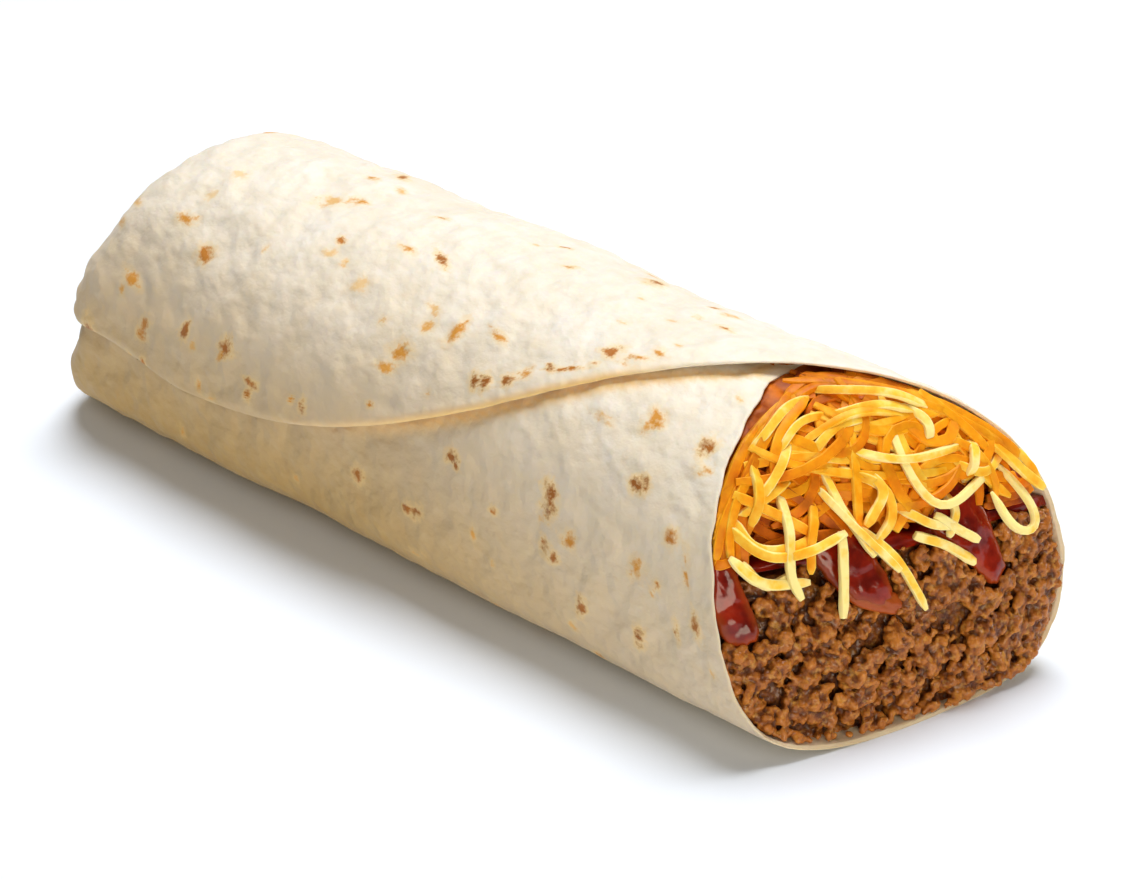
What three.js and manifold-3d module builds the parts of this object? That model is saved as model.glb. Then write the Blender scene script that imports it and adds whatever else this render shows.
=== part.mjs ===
// A burrito that lies on a flat surface: a flour tortilla rolled round seasoned ground beef, a layer of
// red sauce and a heap of shredded cheese. One end is tucked shut and the other is open.
// Millimetres, +X from the tucked end to the open mouth, +Z up. Four separate pieces: tortilla, ground_beef,
// red_sauce and shredded_cheese. A place on the roll is given by an angle round it, in degrees, 0 at the
// top and 90 on the -Y side, where the loose edge of the tortilla comes down.
import * as THREE from "three";
import Module from "manifold-3d";

const wasm = await Module();
wasm.setup();

// The roll's section: half width, the height of its widest place, the height of its top, and how square it
// is below and above that place. It sags under its own weight, so it is squarer below. Its underside is
// sunk a little and cut off flat.
const HALF_WIDTH = 28.8;
const WIDEST_HEIGHT = 17.4;
const TOP_HEIGHT = 48.7;
const LOWER_SQUARENESS = 3.36;
const UPPER_SQUARENESS = 2.13;
const FLAT_SINK = 0.3;

// The flat tortilla: a disc rolled up about its own middle line, which becomes the underside.
const SHEET = 1.7;
const DISC_RADIUS = 129.5;
const DISC_CENTRE_X = 37;
const MOUTH_SKEW = 0.316;
const MOUTH_DROP = 0.42;
const MOUTH_TWIST = -1.53;

// The tucked end: where its middle lies, how far its underside sticks out and its top leans back, and how
// deep its rounded shoulder is at the sides, with the change from there to the top.
const TUCK_X = -6.8;
const TUCK_LEAN = 6.7;
const SHOULDER = 12.2;
const SHOULDER_TOP = 4.6;
const SHOULDER_SQUARENESS = 2.5;
const TUCK_LENGTH = 51;
const TUCK_LOWER = 1.4;

// The overlap: where the outer layer lifts off the inner one, on the far side, and the gap between them.
const LIFT_FROM = -118;
const LIFT_TO = -58;
const LAYER_GAP = 0.3;
const LIP_TURN = 50;
const LIP_SINK = 0.7;
const FLAP_DROOP = -3.2;

// The filling: the level where beef meets sauce, the sauce's thickness and the gap between the pieces.
const BEEF_TOP = 26.5;
const SAUCE_LAYER = 2;
const PIECE_GAP = 0.35;
const NEAR_SETBACK = 1.4;
const FAR_SETBACK = 0.1;
const MOUTH_BULGE = 2.8;
const PLUG_END = 178;

// Cheese shreds: a flat strip cut by a grater.
const SHRED_WIDTH = 1.9;
const SHRED_THICKNESS = 1.4;

const rad = THREE.MathUtils.degToRad;
const { lerp, smoothstep } = THREE.MathUtils;

// A repeatable random number from 0 to 1.
function randomFrom(seed) {
  let state = seed;
  return () => {
    state = (Math.imul(state, 1664525) + 1013904223) >>> 0;
    return state / 4294967296;
  };
}

// Gentle unevenness of the dough, in mm, from a few long waves. The underside has less of it.
function dough(angle, x) {
  const a = rad(angle);
  const pressed = 1 - 0.85 * Math.max(-Math.cos(a), 0) ** 2;
  const waves =
    0.24 * Math.sin(0.11 * x + 2 * a) +
    0.2 * Math.sin(0.07 * x - 3 * a + 1) +
    0.16 * Math.sin(0.19 * x + 5 * a + 2);
  return pressed * waves;
}

// The section at an angle: across and up, in mm from the widest place's middle.
function sectionAt(angle) {
  const [c, s] = [Math.cos(rad(angle)), Math.sin(rad(angle))];
  const square = c < 0 ? LOWER_SQUARENESS : UPPER_SQUARENESS;
  const height = c < 0 ? WIDEST_HEIGHT : TOP_HEIGHT - WIDEST_HEIGHT;
  const size = (Math.abs(s) ** square + Math.abs(c) ** square) ** (-1 / square);
  return [-HALF_WIDTH * s * size, height * c * size];
}

// How far out a place in the section is, where 1 is on the outside of the roll.
function shareAt(y, z) {
  const up = z + FLAT_SINK - WIDEST_HEIGHT;
  const square = up < 0 ? LOWER_SQUARENESS : UPPER_SQUARENESS;
  const height = up < 0 ? WIDEST_HEIGHT : TOP_HEIGHT - WIDEST_HEIGHT;
  return (Math.abs(y / HALF_WIDTH) ** square + Math.abs(up / height) ** square) ** (1 / square);
}

// The outside of the roll at an angle, a place along it, and a share of the way out from its middle.
function rollPoint(angle, x, share = 1) {
  const lower = 1 - (TUCK_LOWER * (1 - smoothstep(x, 0, TUCK_LENGTH))) / TOP_HEIGHT;
  const out = share * (1 + dough(angle, x) / HALF_WIDTH);
  const [across, up] = sectionAt(angle);
  const z = (WIDEST_HEIGHT + up * out) * lower - FLAT_SINK;
  return new THREE.Vector3(x, across * out, Math.max(z, 0));
}

// The rounded tucked end: turn 0 is its middle and 90 is where the straight part begins.
function tuckLean(angle) {
  return TUCK_LEAN * Math.cos(rad(angle));
}
function shoulderDepth(angle) {
  return SHOULDER + SHOULDER_TOP * Math.cos(rad(angle));
}
function tuckX(angle, share, rise) {
  return TUCK_X + tuckLean(angle) * share * (2 - share) + rise * shoulderDepth(angle);
}
function tuckPoint(angle, turn) {
  const share = Math.sin(rad(turn)) ** (2 / SHOULDER_SQUARENESS);
  const rise = 1 - Math.max(Math.cos(rad(turn)), 0) ** (2 / SHOULDER_SQUARENESS);
  return rollPoint(angle, tuckX(angle, share, rise), share);
}
function straightFrom(angle) {
  return tuckX(angle, 1, 1);
}

// The way round the section from the middle of the underside, along the middle of the sheet.
const arcs = [0];
for (let angle = 179; angle >= 0; angle--) {
  const [y0, z0] = sectionAt(angle + 1);
  const [y1, z1] = sectionAt(angle);
  arcs.push(arcs[arcs.length - 1] + Math.hypot(y1 - y0, z1 - z0) * (1 - SHEET / 2 / HALF_WIDTH));
}
const HALF_ROUND = arcs[180];
function arcAt(angle) {
  const from = 180 - Math.min(Math.abs(angle), 180);
  const whole = Math.min(Math.floor(from), 179);
  return lerp(arcs[whole], arcs[whole + 1], from - whole);
}
function angleOfArc(arc) {
  let angle = 180;
  while (angle > 0 && arcAt(angle) < arc) angle -= 0.25;
  return angle;
}

// Where the tortilla's round edge lies once it is rolled: along the roll, at an arc from the underside.
function edgeX(arc, y, angle, twisted) {
  const along = Math.sqrt(Math.max(DISC_RADIUS ** 2 - arc ** 2, 0));
  const turned = MOUTH_DROP * Math.cos(rad(angle)) + MOUTH_TWIST * Math.sin(rad(2 * angle));
  return DISC_CENTRE_X + along + MOUTH_SKEW * y + twisted * turned;
}
function nearRim(angle) {
  return edgeX(arcAt(angle), sectionAt(angle)[0], angle, 1);
}
function farRim(angle) {
  const arc = angle < 0 ? arcAt(angle) : 2 * HALF_ROUND - arcAt(angle);
  return edgeX(arc, sectionAt(angle)[0], angle, smoothstep(-angle, 0, 60));
}
const FLAP_ANGLE = angleOfArc(2 * HALF_ROUND - DISC_RADIUS);
function flapEdgeAngle(x) {
  const across = Math.min(x - DISC_CENTRE_X + MOUTH_SKEW * HALF_WIDTH, 0);
  const arc = Math.sqrt(DISC_RADIUS ** 2 - across ** 2);
  const droop = FLAP_DROOP * Math.sin(Math.PI * THREE.MathUtils.clamp((x + 6) / 39, 0, 1)) ** 2;
  return angleOfArc(2 * HALF_ROUND - arc) + droop;
}

// The rim of the inner layer. Under the flap it stops a little short, where the flap takes over from it.
const RIM_RECESS = 7;
function underFlap(angle) {
  return smoothstep(angle, LIFT_FROM, -92) * (1 - smoothstep(angle, -12, 1));
}
function innerRim(angle) {
  const turned = angle > 180 ? angle - 360 : angle;
  if (turned >= 0) return nearRim(turned);
  return farRim(turned) - RIM_RECESS * underFlap(turned);
}

// Moves a surface point out along the surface's own normal, found from its neighbours.
function movedOut(surface, u, v, distance) {
  const step = 0.004;
  const alongU = surface(u + step, v).sub(surface(u - step, v));
  const alongV = surface(u, v + step).sub(surface(u, Math.max(v - step, step / 2)));
  const normal = alongU.cross(alongV).normalize();
  return surface(u, v).addScaledVector(normal, distance);
}

// A closed solid from an outer and an inner sheet of points over the same grid. A round sheet joins up in
// u and comes to a point at v = 0; any other has four open edges, which are walled.
function sheetSolid(us, vs, outer, inner, round) {
  const points = [];
  const triangles = [];
  const columns = us.length;
  const add = (p) => points.push(p.x, p.y, p.z) / 3 - 1;
  const rows = round ? vs.slice(1) : vs;
  const layer = (at) => rows.map((v) => us.map((u) => add(at(u, v))));
  const out = layer(outer);
  const back = layer(inner);
  const last = rows.length - 1;
  const quad = (a, b, c, d) => triangles.push(a, b, c, a, c, d);
  const steps = round ? columns : columns - 1;
  for (let i = 0; i < steps; i++) {
    const next = (i + 1) % columns;
    for (let j = 0; j < last; j++) {
      quad(out[j][i], out[j][next], out[j + 1][next], out[j + 1][i]);
      quad(back[j][i], back[j + 1][i], back[j + 1][next], back[j][next]);
    }
    quad(out[last][i], out[last][next], back[last][next], back[last][i]);
    if (!round) quad(back[0][i], back[0][next], out[0][next], out[0][i]);
  }
  if (round) {
    const outPole = add(outer(us[0], vs[0]));
    const backPole = add(inner(us[0], vs[0]));
    for (let i = 0; i < columns; i++) {
      const next = (i + 1) % columns;
      triangles.push(outPole, out[0][next], out[0][i]);
      triangles.push(backPole, back[0][i], back[0][next]);
    }
  } else {
    const side = columns - 1;
    for (let j = 0; j < last; j++) {
      quad(back[j][0], out[j][0], out[j + 1][0], back[j + 1][0]);
      quad(out[j][side], back[j][side], back[j + 1][side], out[j + 1][side]);
    }
  }
  return solid(points, triangles);
}
function solid(points, triangles) {
  const made = new wasm.Manifold(
    new wasm.Mesh({
      numProp: 3,
      vertProperties: Float32Array.from(points),
      triVerts: Uint32Array.from(triangles),
    }),
  );
  if (made.volume() > 0) return made;
  const turned = [];
  for (let i = 0; i < triangles.length; i += 3) {
    turned.push(triangles[i], triangles[i + 2], triangles[i + 1]);
  }
  return new wasm.Manifold(
    new wasm.Mesh({
      numProp: 3,
      vertProperties: Float32Array.from(points),
      triVerts: Uint32Array.from(turned),
    }),
  );
}
function evenly(count, from, to) {
  return Array.from({ length: count + 1 }, (_, i) => lerp(from, to, i / count));
}
function largestPiece(made) {
  return made.decompose().sort((a, b) => b.volume() - a.volume())[0];
}

// The inner layer: u goes round the roll, v from the middle of the tucked end along to the mouth.
const TUCK_SHARE = 0.3;
const EDGE_SHARE = 0.985;
const EDGE_THIN = 0.42;
function wrapSurface(u, v) {
  const angle = 360 * u;
  if (v < TUCK_SHARE) return tuckPoint(angle, (90 * v) / TUCK_SHARE);
  const along = (v - TUCK_SHARE) / (1 - TUCK_SHARE);
  return rollPoint(angle, lerp(straightFrom(angle), innerRim(angle), along));
}
function wrapSide(depth) {
  return (u, v) => {
    const edge = v > EDGE_SHARE ? EDGE_THIN : 1;
    const middle = -SHEET / 2;
    if (v === 0) return new THREE.Vector3(TUCK_X - depth, 0, WIDEST_HEIGHT);
    return movedOut(wrapSurface, u, v, middle + (depth - middle) * edge);
  };
}
const WRAP_COLUMNS = 46;
const wrapRows = [
  ...evenly(6, 0, TUCK_SHARE),
  ...evenly(10, TUCK_SHARE, 0.98).slice(1),
  1,
];
const wrapUs = evenly(WRAP_COLUMNS, 0, 1).slice(0, -1);
const innerLayer = sheetSolid(wrapUs, wrapRows, wrapSide(0), wrapSide(-SHEET), true);

// The flap: the outer layer, which leaves the inner one on the far side, crosses the top and ends in the
// tortilla's own round edge on the near side. At the tucked end it stops at a lip on the shoulder.
const FLAP_TUCK_SHARE = 0.16;
function flapSurface(u, v) {
  const full = lerp(LIFT_FROM, FLAP_ANGLE, u);
  if (v < FLAP_TUCK_SHARE) {
    const turn = lerp(LIP_TURN, 90, v / FLAP_TUCK_SHARE);
    return tuckPoint(lerp(LIFT_FROM, flapEdgeAngle(straightFrom(full)), u), turn);
  }
  const along = (v - FLAP_TUCK_SHARE) / (1 - FLAP_TUCK_SHARE);
  const angle = (x) => lerp(LIFT_FROM, flapEdgeAngle(x), u);
  const x = lerp(straightFrom(angle(straightFrom(full))), farRim(full), along);
  return rollPoint(angle(x), x);
}
function flapSide(depth) {
  return (u, v) => {
    const lift = smoothstep(lerp(LIFT_FROM, FLAP_ANGLE, u), LIFT_FROM, LIFT_TO);
    const gap = lerp(-LIP_SINK, LAYER_GAP, smoothstep(v, 0, FLAP_TUCK_SHARE));
    const out = lerp(-0.15, gap + SHEET, lift);
    const back = Math.max(out - SHEET, -0.75 * SHEET);
    const atEdge = v > EDGE_SHARE || u > EDGE_SHARE || v < 1 - EDGE_SHARE;
    const edge = atEdge ? EDGE_THIN : 1;
    const middle = (out + back) / 2;
    return movedOut(flapSurface, u, v, middle + ((depth > 0 ? out : back) - middle) * edge);
  };
}
const flapUs = [...evenly(20, 0, 0.9), 0.94, 0.975, 1];
const flapVs = [0, 0.03, 0.08, FLAP_TUCK_SHARE, ...evenly(12, FLAP_TUCK_SHARE, 0.98).slice(1), 1];
const flap = sheetSolid(flapUs, flapVs, flapSide(1), flapSide(-1), false);

// The tongue that was folded up over the tucked end before the last turn of the roll.
const TONGUE_HALF = 15;
const TONGUE_LOW = 5;
const TONGUE_HIGH = 30;
function tuckFace(y, z) {
  const up = z - WIDEST_HEIGHT;
  const height = up < 0 ? WIDEST_HEIGHT : TOP_HEIGHT - WIDEST_HEIGHT;
  const angle = THREE.MathUtils.radToDeg(Math.atan2(-y / HALF_WIDTH, up / height));
  const turn = Math.asin(Math.min(shareAt(y, z - FLAT_SINK), 1) ** (SHOULDER_SQUARENESS / 2));
  return tuckPoint(angle, THREE.MathUtils.radToDeg(turn));
}
function tongueSide(depth) {
  const surface = (u, v) => {
    const side = 1 - 2 * u;
    const high = TONGUE_HIGH - 7 * side ** 2 + 1.2 * Math.sin(4 * side);
    return tuckFace(TONGUE_HALF * side, lerp(TONGUE_LOW, high, v));
  };
  return (u, v) => {
    const out = lerp(-0.15, 1.3, smoothstep(v, 0, 0.5));
    const back = Math.max(out - SHEET, -1.1);
    const edge = v > EDGE_SHARE || Math.abs(u - 0.5) > EDGE_SHARE / 2 ? EDGE_THIN : 1;
    const middle = (out + back) / 2;
    return movedOut(surface, u, v, middle + ((depth > 0 ? out : back) - middle) * edge);
  };
}
const tongueUs = [0, 0.06, ...evenly(6, 0.15, 0.85), 0.94, 1];
const tongueVs = [...evenly(6, 0, 0.92), 1];
const tongue = sheetSolid(tongueUs, tongueVs, tongueSide(1), tongueSide(-1), false);
const tortilla = largestPiece(wasm.Manifold.union([innerLayer, flap, tongue]));

// The space inside the roll, as one plug that runs out past the mouth. Past the inner layer's rim it
// widens to fill the flap, in rows that stand at these distances past that rim.
const PAST_RIM = [0.4, 1.7, 3];
function plugSide(u, v, past) {
  const depth = SHEET + PIECE_GAP;
  if (v === 0) return new THREE.Vector3(TUCK_X + depth, 0, WIDEST_HEIGHT);
  const angle = 360 * u > 180 ? 360 * u - 360 : 360 * u;
  const lift = smoothstep(angle, LIFT_FROM, LIFT_TO) * (SHEET + LAYER_GAP) * underFlap(angle);
  const made = movedOut(wrapSurface, u, v, lift * smoothstep(past, PAST_RIM[0], PAST_RIM[2]) - depth);
  made.x += past;
  return made;
}
const plug = (() => {
  const inside = wrapRows.slice(1).map((v) => [v, 0]);
  const places = [...inside, ...PAST_RIM.map((past) => [1, past]), [1, PLUG_END]];
  const points = [];
  const triangles = [];
  const add = (p) => points.push(Math.min(p.x, PLUG_END), p.y, p.z) / 3 - 1;
  const ring = places.map(([v, past]) => wrapUs.map((u) => add(plugSide(u, v, past))));
  const start = add(plugSide(0, 0, 0));
  const end = add(new THREE.Vector3(PLUG_END, 0, WIDEST_HEIGHT));
  for (let i = 0; i < WRAP_COLUMNS; i++) {
    const next = (i + 1) % WRAP_COLUMNS;
    triangles.push(start, ring[0][next], ring[0][i]);
    for (let j = 0; j < ring.length - 1; j++) {
      triangles.push(ring[j][i], ring[j][next], ring[j + 1][next]);
      triangles.push(ring[j][i], ring[j + 1][next], ring[j + 1][i]);
    }
    const tail = ring.length - 1;
    triangles.push(end, ring[tail][i], ring[tail][next]);
  }
  return solid(points, triangles);
})();

// The face of the filling at the mouth, as a distance along X. It follows the rim and bulges in the middle.
function angleAtHeight(z) {
  const up = z + FLAT_SINK - WIDEST_HEIGHT;
  const square = up < 0 ? LOWER_SQUARENESS : UPPER_SQUARENESS;
  const height = up < 0 ? WIDEST_HEIGHT : TOP_HEIGHT - WIDEST_HEIGHT;
  const share = THREE.MathUtils.clamp(up / height, -1, 1);
  return THREE.MathUtils.radToDeg(Math.atan2((1 - Math.abs(share) ** square) ** (1 / square), share));
}
function mouthFace(y, z) {
  const angle = angleAtHeight(z);
  const rim = edgeX(arcAt(angle), y, angle, 0) + MOUTH_DROP * Math.cos(rad(angle));
  const twist = (-MOUTH_TWIST * Math.sin(rad(2 * angle)) * y) / HALF_WIDTH;
  const inside = Math.min(shareAt(y, z), 1);
  const setback = lerp(NEAR_SETBACK, FAR_SETBACK, smoothstep(y, -HALF_WIDTH, 0.5 * HALF_WIDTH));
  return rim + twist - setback + MOUTH_BULGE * (1 - inside ** 2);
}
function faceNormal(y, z) {
  const step = 0.5;
  const acrossSlope = (mouthFace(y + step, z) - mouthFace(y - step, z)) / (2 * step);
  const upSlope = (mouthFace(y, z + step) - mouthFace(y, z - step)) / (2 * step);
  return new THREE.Vector3(1, -acrossSlope, -upSlope).normalize();
}

// A block with one uneven face: everything under height(a, b) over a grid, laid out by place(a, b, c).
function uneven(as, bs, floor, height, place) {
  const points = [];
  const triangles = [];
  const add = (p) => points.push(p.x, p.y, p.z) / 3 - 1;
  const top = as.map((a) => bs.map((b) => add(place(a, b, height(a, b)))));
  const base = as.map((a) => bs.map((b) => add(place(a, b, floor))));
  const quad = (a, b, c, d) => triangles.push(a, b, c, a, c, d);
  const [m, n] = [as.length - 1, bs.length - 1];
  for (let i = 0; i < m; i++) {
    for (let j = 0; j < n; j++) {
      quad(top[i][j], top[i + 1][j], top[i + 1][j + 1], top[i][j + 1]);
      quad(base[i][j], base[i][j + 1], base[i + 1][j + 1], base[i + 1][j]);
    }
    quad(base[i][0], base[i + 1][0], top[i + 1][0], top[i][0]);
    quad(base[i + 1][n], base[i][n], top[i][n], top[i + 1][n]);
  }
  for (let j = 0; j < n; j++) {
    quad(base[0][j + 1], base[0][j], top[0][j], top[0][j + 1]);
    quad(base[m][j], base[m][j + 1], top[m][j + 1], top[m][j]);
  }
  return solid(points, triangles);
}
function underLevel(level) {
  const as = evenly(12, -12, PLUG_END + 12);
  const bs = evenly(5, -38, 38);
  return uneven(as, bs, -12, level, (x, y, z) => new THREE.Vector3(x, y, z));
}
function behindFace(face, step) {
  const as = evenly(Math.round(62 / step), -31, 31);
  const bs = evenly(Math.round(53 / step), -2, 51);
  return uneven(as, bs, -30, face, (y, z, x) => new THREE.Vector3(x, y, z));
}
function beefLevel(x, y) {
  return BEEF_TOP + 0.8 * Math.sin(0.09 * x + 0.1 * y) + 0.7 * Math.sin(0.15 * y - 0.05 * x);
}

// Runs of sauce that hang over the beef at the mouth: middle, half width, half height and lean.
const SAUCE_RUNS = [
  { y: -24.8, z: 25.8, across: 2.7, down: 6.2, lean: 0.05 },
  { y: -5.8, z: 25, across: 4.2, down: 4.7, lean: 0.1 },
  { y: 15, z: 25.6, across: 3.4, down: 6.6, lean: 0 },
  { y: 24.6, z: 33, across: 1.9, down: 3.4, lean: -0.3 },
];
const RUN_PROUD = 1;
const RUN_DEPTH = 3.2;
function nearRun(y, z, spare) {
  return SAUCE_RUNS.some((run) => {
    const side = (y - run.y + run.lean * (z - run.z)) / (run.across + spare);
    return side ** 2 + ((z - run.z) / (run.down + spare)) ** 2 < 1;
  });
}

// Ground beef: crumbs stand out of its face as bumps, and the largest are crumbs of their own.
const CRUMB_STEP = 2.3;
const crumbRandom = randomFrom(7);
const crumbHeights = new Map();
function crumbFace(y, z) {
  const key = `${Math.round(y / CRUMB_STEP)},${Math.round(z / CRUMB_STEP)}`;
  if (!crumbHeights.has(key)) crumbHeights.set(key, crumbRandom());
  if (nearRun(y, z, 1.6)) return mouthFace(y, z) - RUN_DEPTH;
  return mouthFace(y, z) - 1.1 + 1.9 * crumbHeights.get(key);
}
function crumb(y, z, radius, random) {
  const shape = new THREE.IcosahedronGeometry(radius, 0);
  shape.scale(0.8 + 0.3 * random(), 0.8 + 0.5 * random(), 0.75 + 0.4 * random());
  shape.rotateX(6 * random());
  shape.rotateY(6 * random());
  shape.translate(mouthFace(y, z) - radius + 0.6, y, z);
  return solidFrom(shape);
}
function solidFrom(geometry) {
  const position = geometry.getAttribute("position");
  const found = new Map();
  const points = [];
  const triangles = [];
  for (let i = 0; i < position.count; i++) {
    const p = [position.getX(i), position.getY(i), position.getZ(i)];
    const key = p.map((n) => Math.round(n * 1000)).join();
    if (!found.has(key)) found.set(key, points.push(...p) / 3 - 1);
    triangles.push(found.get(key));
  }
  return solid(points, triangles);
}
const crumbs = [];
const placeRandom = randomFrom(21);
for (let y = -24; y <= 26; y += 6.2) {
  for (let z = 4.5; z <= 22; z += 6) {
    const at = [y + 2.6 * (placeRandom() - 0.5), z + 2.6 * (placeRandom() - 0.5)];
    const radius = 2 + 1.1 * placeRandom();
    const inside = shareAt(...at) < 1 - (radius + 3) / WIDEST_HEIGHT / 1.3;
    if (inside && !nearRun(...at, radius + 0.8)) crumbs.push(crumb(...at, radius, placeRandom));
  }
}
const beefBody = plug
  .intersect(underLevel(beefLevel))
  .intersect(behindFace(crumbFace, CRUMB_STEP));
const beef = largestPiece(wasm.Manifold.union([beefBody, ...crumbs]));

// Red sauce: a layer over the beef, with the runs fused to its front edge.
function sauceRun(run) {
  const shape = new THREE.SphereGeometry(1, 10, 6);
  shape.scale((RUN_PROUD + RUN_DEPTH - 0.6) / 2, run.across, run.down);
  const position = shape.getAttribute("position");
  for (let i = 0; i < position.count; i++) {
    const z = position.getZ(i) + run.z;
    const y = position.getY(i) + run.y - run.lean * (z - run.z);
    const middle = mouthFace(y, z) + (RUN_PROUD - RUN_DEPTH + 0.6) / 2;
    position.setXYZ(i, middle + position.getX(i), y, z);
  }
  return solidFrom(shape.toNonIndexed());
}
const sauceFace = (y, z) => mouthFace(y, z) - 0.8;
const runs = wasm.Manifold.union(SAUCE_RUNS.map(sauceRun)).intersect(plug);
const sauceLayer = plug
  .subtract(underLevel((x, y) => beefLevel(x, y) + PIECE_GAP))
  .intersect(underLevel((x, y) => beefLevel(x, y) + PIECE_GAP + SAUCE_LAYER))
  .intersect(behindFace(sauceFace, 6));
const sauce = largestPiece(sauceLayer.add(runs));

// Shredded cheese: a core that fills the upper half of the roll, with shreds fused over its face.
function cheeseFace(y, z) {
  return mouthFace(y, z) - (nearRun(y, z, 2.2) ? RUN_DEPTH + PIECE_GAP : 0.2);
}
const cheeseCore = plug
  .subtract(underLevel((x, y) => beefLevel(x, y) + 2 * PIECE_GAP + SAUCE_LAYER))
  .intersect(behindFace(cheeseFace, 3.4));

// One shred: a strip of four sides along a curve over the face, flat side out. An end that is high up
// dips into the heap; a low one hangs free over the beef.
const HEAP_FROM = BEEF_TOP + 4.3;
const HANG_LIFT = 2.2;
function shred(places, lift) {
  const flat = new THREE.CatmullRomCurve3(places.map(([y, z]) => new THREE.Vector3(0, y, z)), false, "centripetal");
  const count = Math.max(3, Math.round(flat.getLength() / 3.6));
  const points = [];
  const triangles = [];
  const add = (p) => points.push(p.x, p.y, p.z) / 3 - 1;
  const out = [];
  const path = flat.getSpacedPoints(count).map(({ y, z }, i) => {
    out.push(faceNormal(y, z));
    const atEnd = i === 0 || i === count;
    const clear = z < HEAP_FROM || nearRun(y, z, SHRED_WIDTH);
    const rise = clear ? Math.max(lift, HANG_LIFT) : lift * (atEnd ? 0 : 1);
    return new THREE.Vector3(mouthFace(y, z), y, z).addScaledVector(out[i], rise);
  });
  const rings = path.map((at, i) => {
    const along = path[Math.min(i + 1, count)].clone().sub(path[Math.max(i - 1, 0)]).normalize();
    const across = out[i].clone().cross(along).normalize();
    const thick = along.clone().cross(across).multiplyScalar(SHRED_THICKNESS / 2);
    across.multiplyScalar(SHRED_WIDTH / 2);
    return [
      at.clone().add(across).add(thick),
      at.clone().sub(across).add(thick),
      at.clone().sub(across).sub(thick),
      at.clone().add(across).sub(thick),
    ].map(add);
  });
  const quad = (a, b, c, d) => triangles.push(a, b, c, a, c, d);
  for (let i = 0; i < count; i++) {
    for (let k = 0; k < 4; k++) {
      const next = (k + 1) % 4;
      quad(rings[i][k], rings[i][next], rings[i + 1][next], rings[i + 1][k]);
    }
  }
  quad(...[...rings[0]].reverse());
  quad(...rings[count]);
  return solid(points, triangles);
}

// The shreds on top, by where each runs over the face: across and up, from one end to the other.
const TOP_SHREDS = [
  [[8, 44], [5.3, 37], [7.7, 31.7], [14.8, 33.2], [21, 35]],
  [[10.5, 44.5], [12, 42], [10.5, 39]],
  [[-5.8, 40], [-5.8, 34.5], [-3.6, 27.5]],
  [[-7.5, 31.8], [-9.6, 25], [-11, 20.3]],
  [[-4.5, 32], [-0.8, 26.5], [1.8, 18.5]],
  [[3.2, 29], [7.5, 26.6], [11.5, 23]],
  [[-13, 38], [-14.5, 33], [-16.5, 27.5], [-16, 24]],
  [[-20.5, 36], [-19.5, 31.5], [-13, 31], [-10, 32.5]],
  [[-22, 30], [-20, 26.5], [-15.8, 27.3]],
  [[16.7, 31.8], [19, 26], [22.6, 25], [23.2, 28], [20.8, 35]],
  [[-1, 45], [7, 44.6], [14, 42.6]],
  [[-7.5, 40.8], [-1, 43.6], [8, 43.8]],
  [[-3, 42.4], [5, 38.6], [17.5, 38.5]],
  [[-8, 43.4], [-11.8, 40.5], [-18, 36.5]],
  [[0, 45.4], [-6, 44.6], [-12, 41.5]],
  [[0, 38.8], [0.5, 35.5], [-3.8, 31.8]],
  [[2.2, 33.2], [6, 30], [10, 28.9]],
  [[10.5, 33.5], [10.5, 30.5], [8.3, 27.5]],
  [[14.5, 34], [16.5, 37], [18.2, 38.6]],
  [[7, 31], [10, 28.2], [12.8, 26]],
];
const TOP_LIFTS = [2.6, 1.9, 1.2];

// The shreds beneath: short arcs strewn over the face.
const UNDER_SHREDS = 24;
const UNDER_LIFT = 0.1;
const shredRandom = randomFrom(5);
function shredFits(y, z) {
  const room = 1 - (SHEET + 2 * PIECE_GAP + SHRED_WIDTH / 2) / HALF_WIDTH;
  return z > BEEF_TOP + 4.6 && shareAt(y, z) < room - 0.04;
}
function underShred(index) {
  let heading = lerp(-170, -10, shredRandom());
  const bend = lerp(-9, 9, shredRandom());
  let y = lerp(-19, 19, ((index + 0.5) * 0.382) % 1);
  let z = lerp(33, 45, shredRandom());
  const places = [];
  for (let gone = 0; gone <= 18 && shredFits(y, z); gone += 3) {
    places.push([y, z]);
    y += 3 * Math.cos(rad(heading));
    z += 3 * Math.sin(rad(heading));
    heading += bend;
  }
  return places;
}
const underShreds = evenly(UNDER_SHREDS - 1, 0, UNDER_SHREDS - 1).map(underShred);
const shreds = [
  ...TOP_SHREDS.map((places, i) => shred(places, TOP_LIFTS[i % TOP_LIFTS.length])),
  ...underShreds.filter((places) => places.length > 2).map((places) => shred(places, UNDER_LIFT)),
];
const cheese = largestPiece(wasm.Manifold.union([cheeseCore, ...shreds]));

// Turns a solid into a named mesh with its own material.
function piece(name, made, color, roughness) {
  const { vertProperties, triVerts } = made.getMesh();
  const geometry = new THREE.BufferGeometry();
  geometry.setAttribute("position", new THREE.BufferAttribute(vertProperties, 3));
  geometry.setIndex(new THREE.BufferAttribute(triVerts, 1));
  geometry.computeVertexNormals();
  const material = new THREE.MeshStandardMaterial({ color, roughness, metalness: 0 });
  const mesh = new THREE.Mesh(geometry, material);
  mesh.name = name;
  return mesh;
}

const burrito = new THREE.Group();
burrito.add(piece("tortilla", tortilla, 0xeee2c6, 0.75));
burrito.add(piece("ground_beef", beef, 0x8a4d20, 0.5));
burrito.add(piece("red_sauce", sauce, 0x74170d, 0.15));
burrito.add(piece("shredded_cheese", cheese, 0xf7a81e, 0.45));

// The origin is under the middle of the whole, on the surface that it lies on.
const middle = new THREE.Box3().setFromObject(burrito).getCenter(new THREE.Vector3());
burrito.position.set(-middle.x, -middle.y, 0);

export default burrito;
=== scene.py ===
import math

import bmesh
import bpy
import numpy as np
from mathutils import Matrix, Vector, noise


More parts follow.
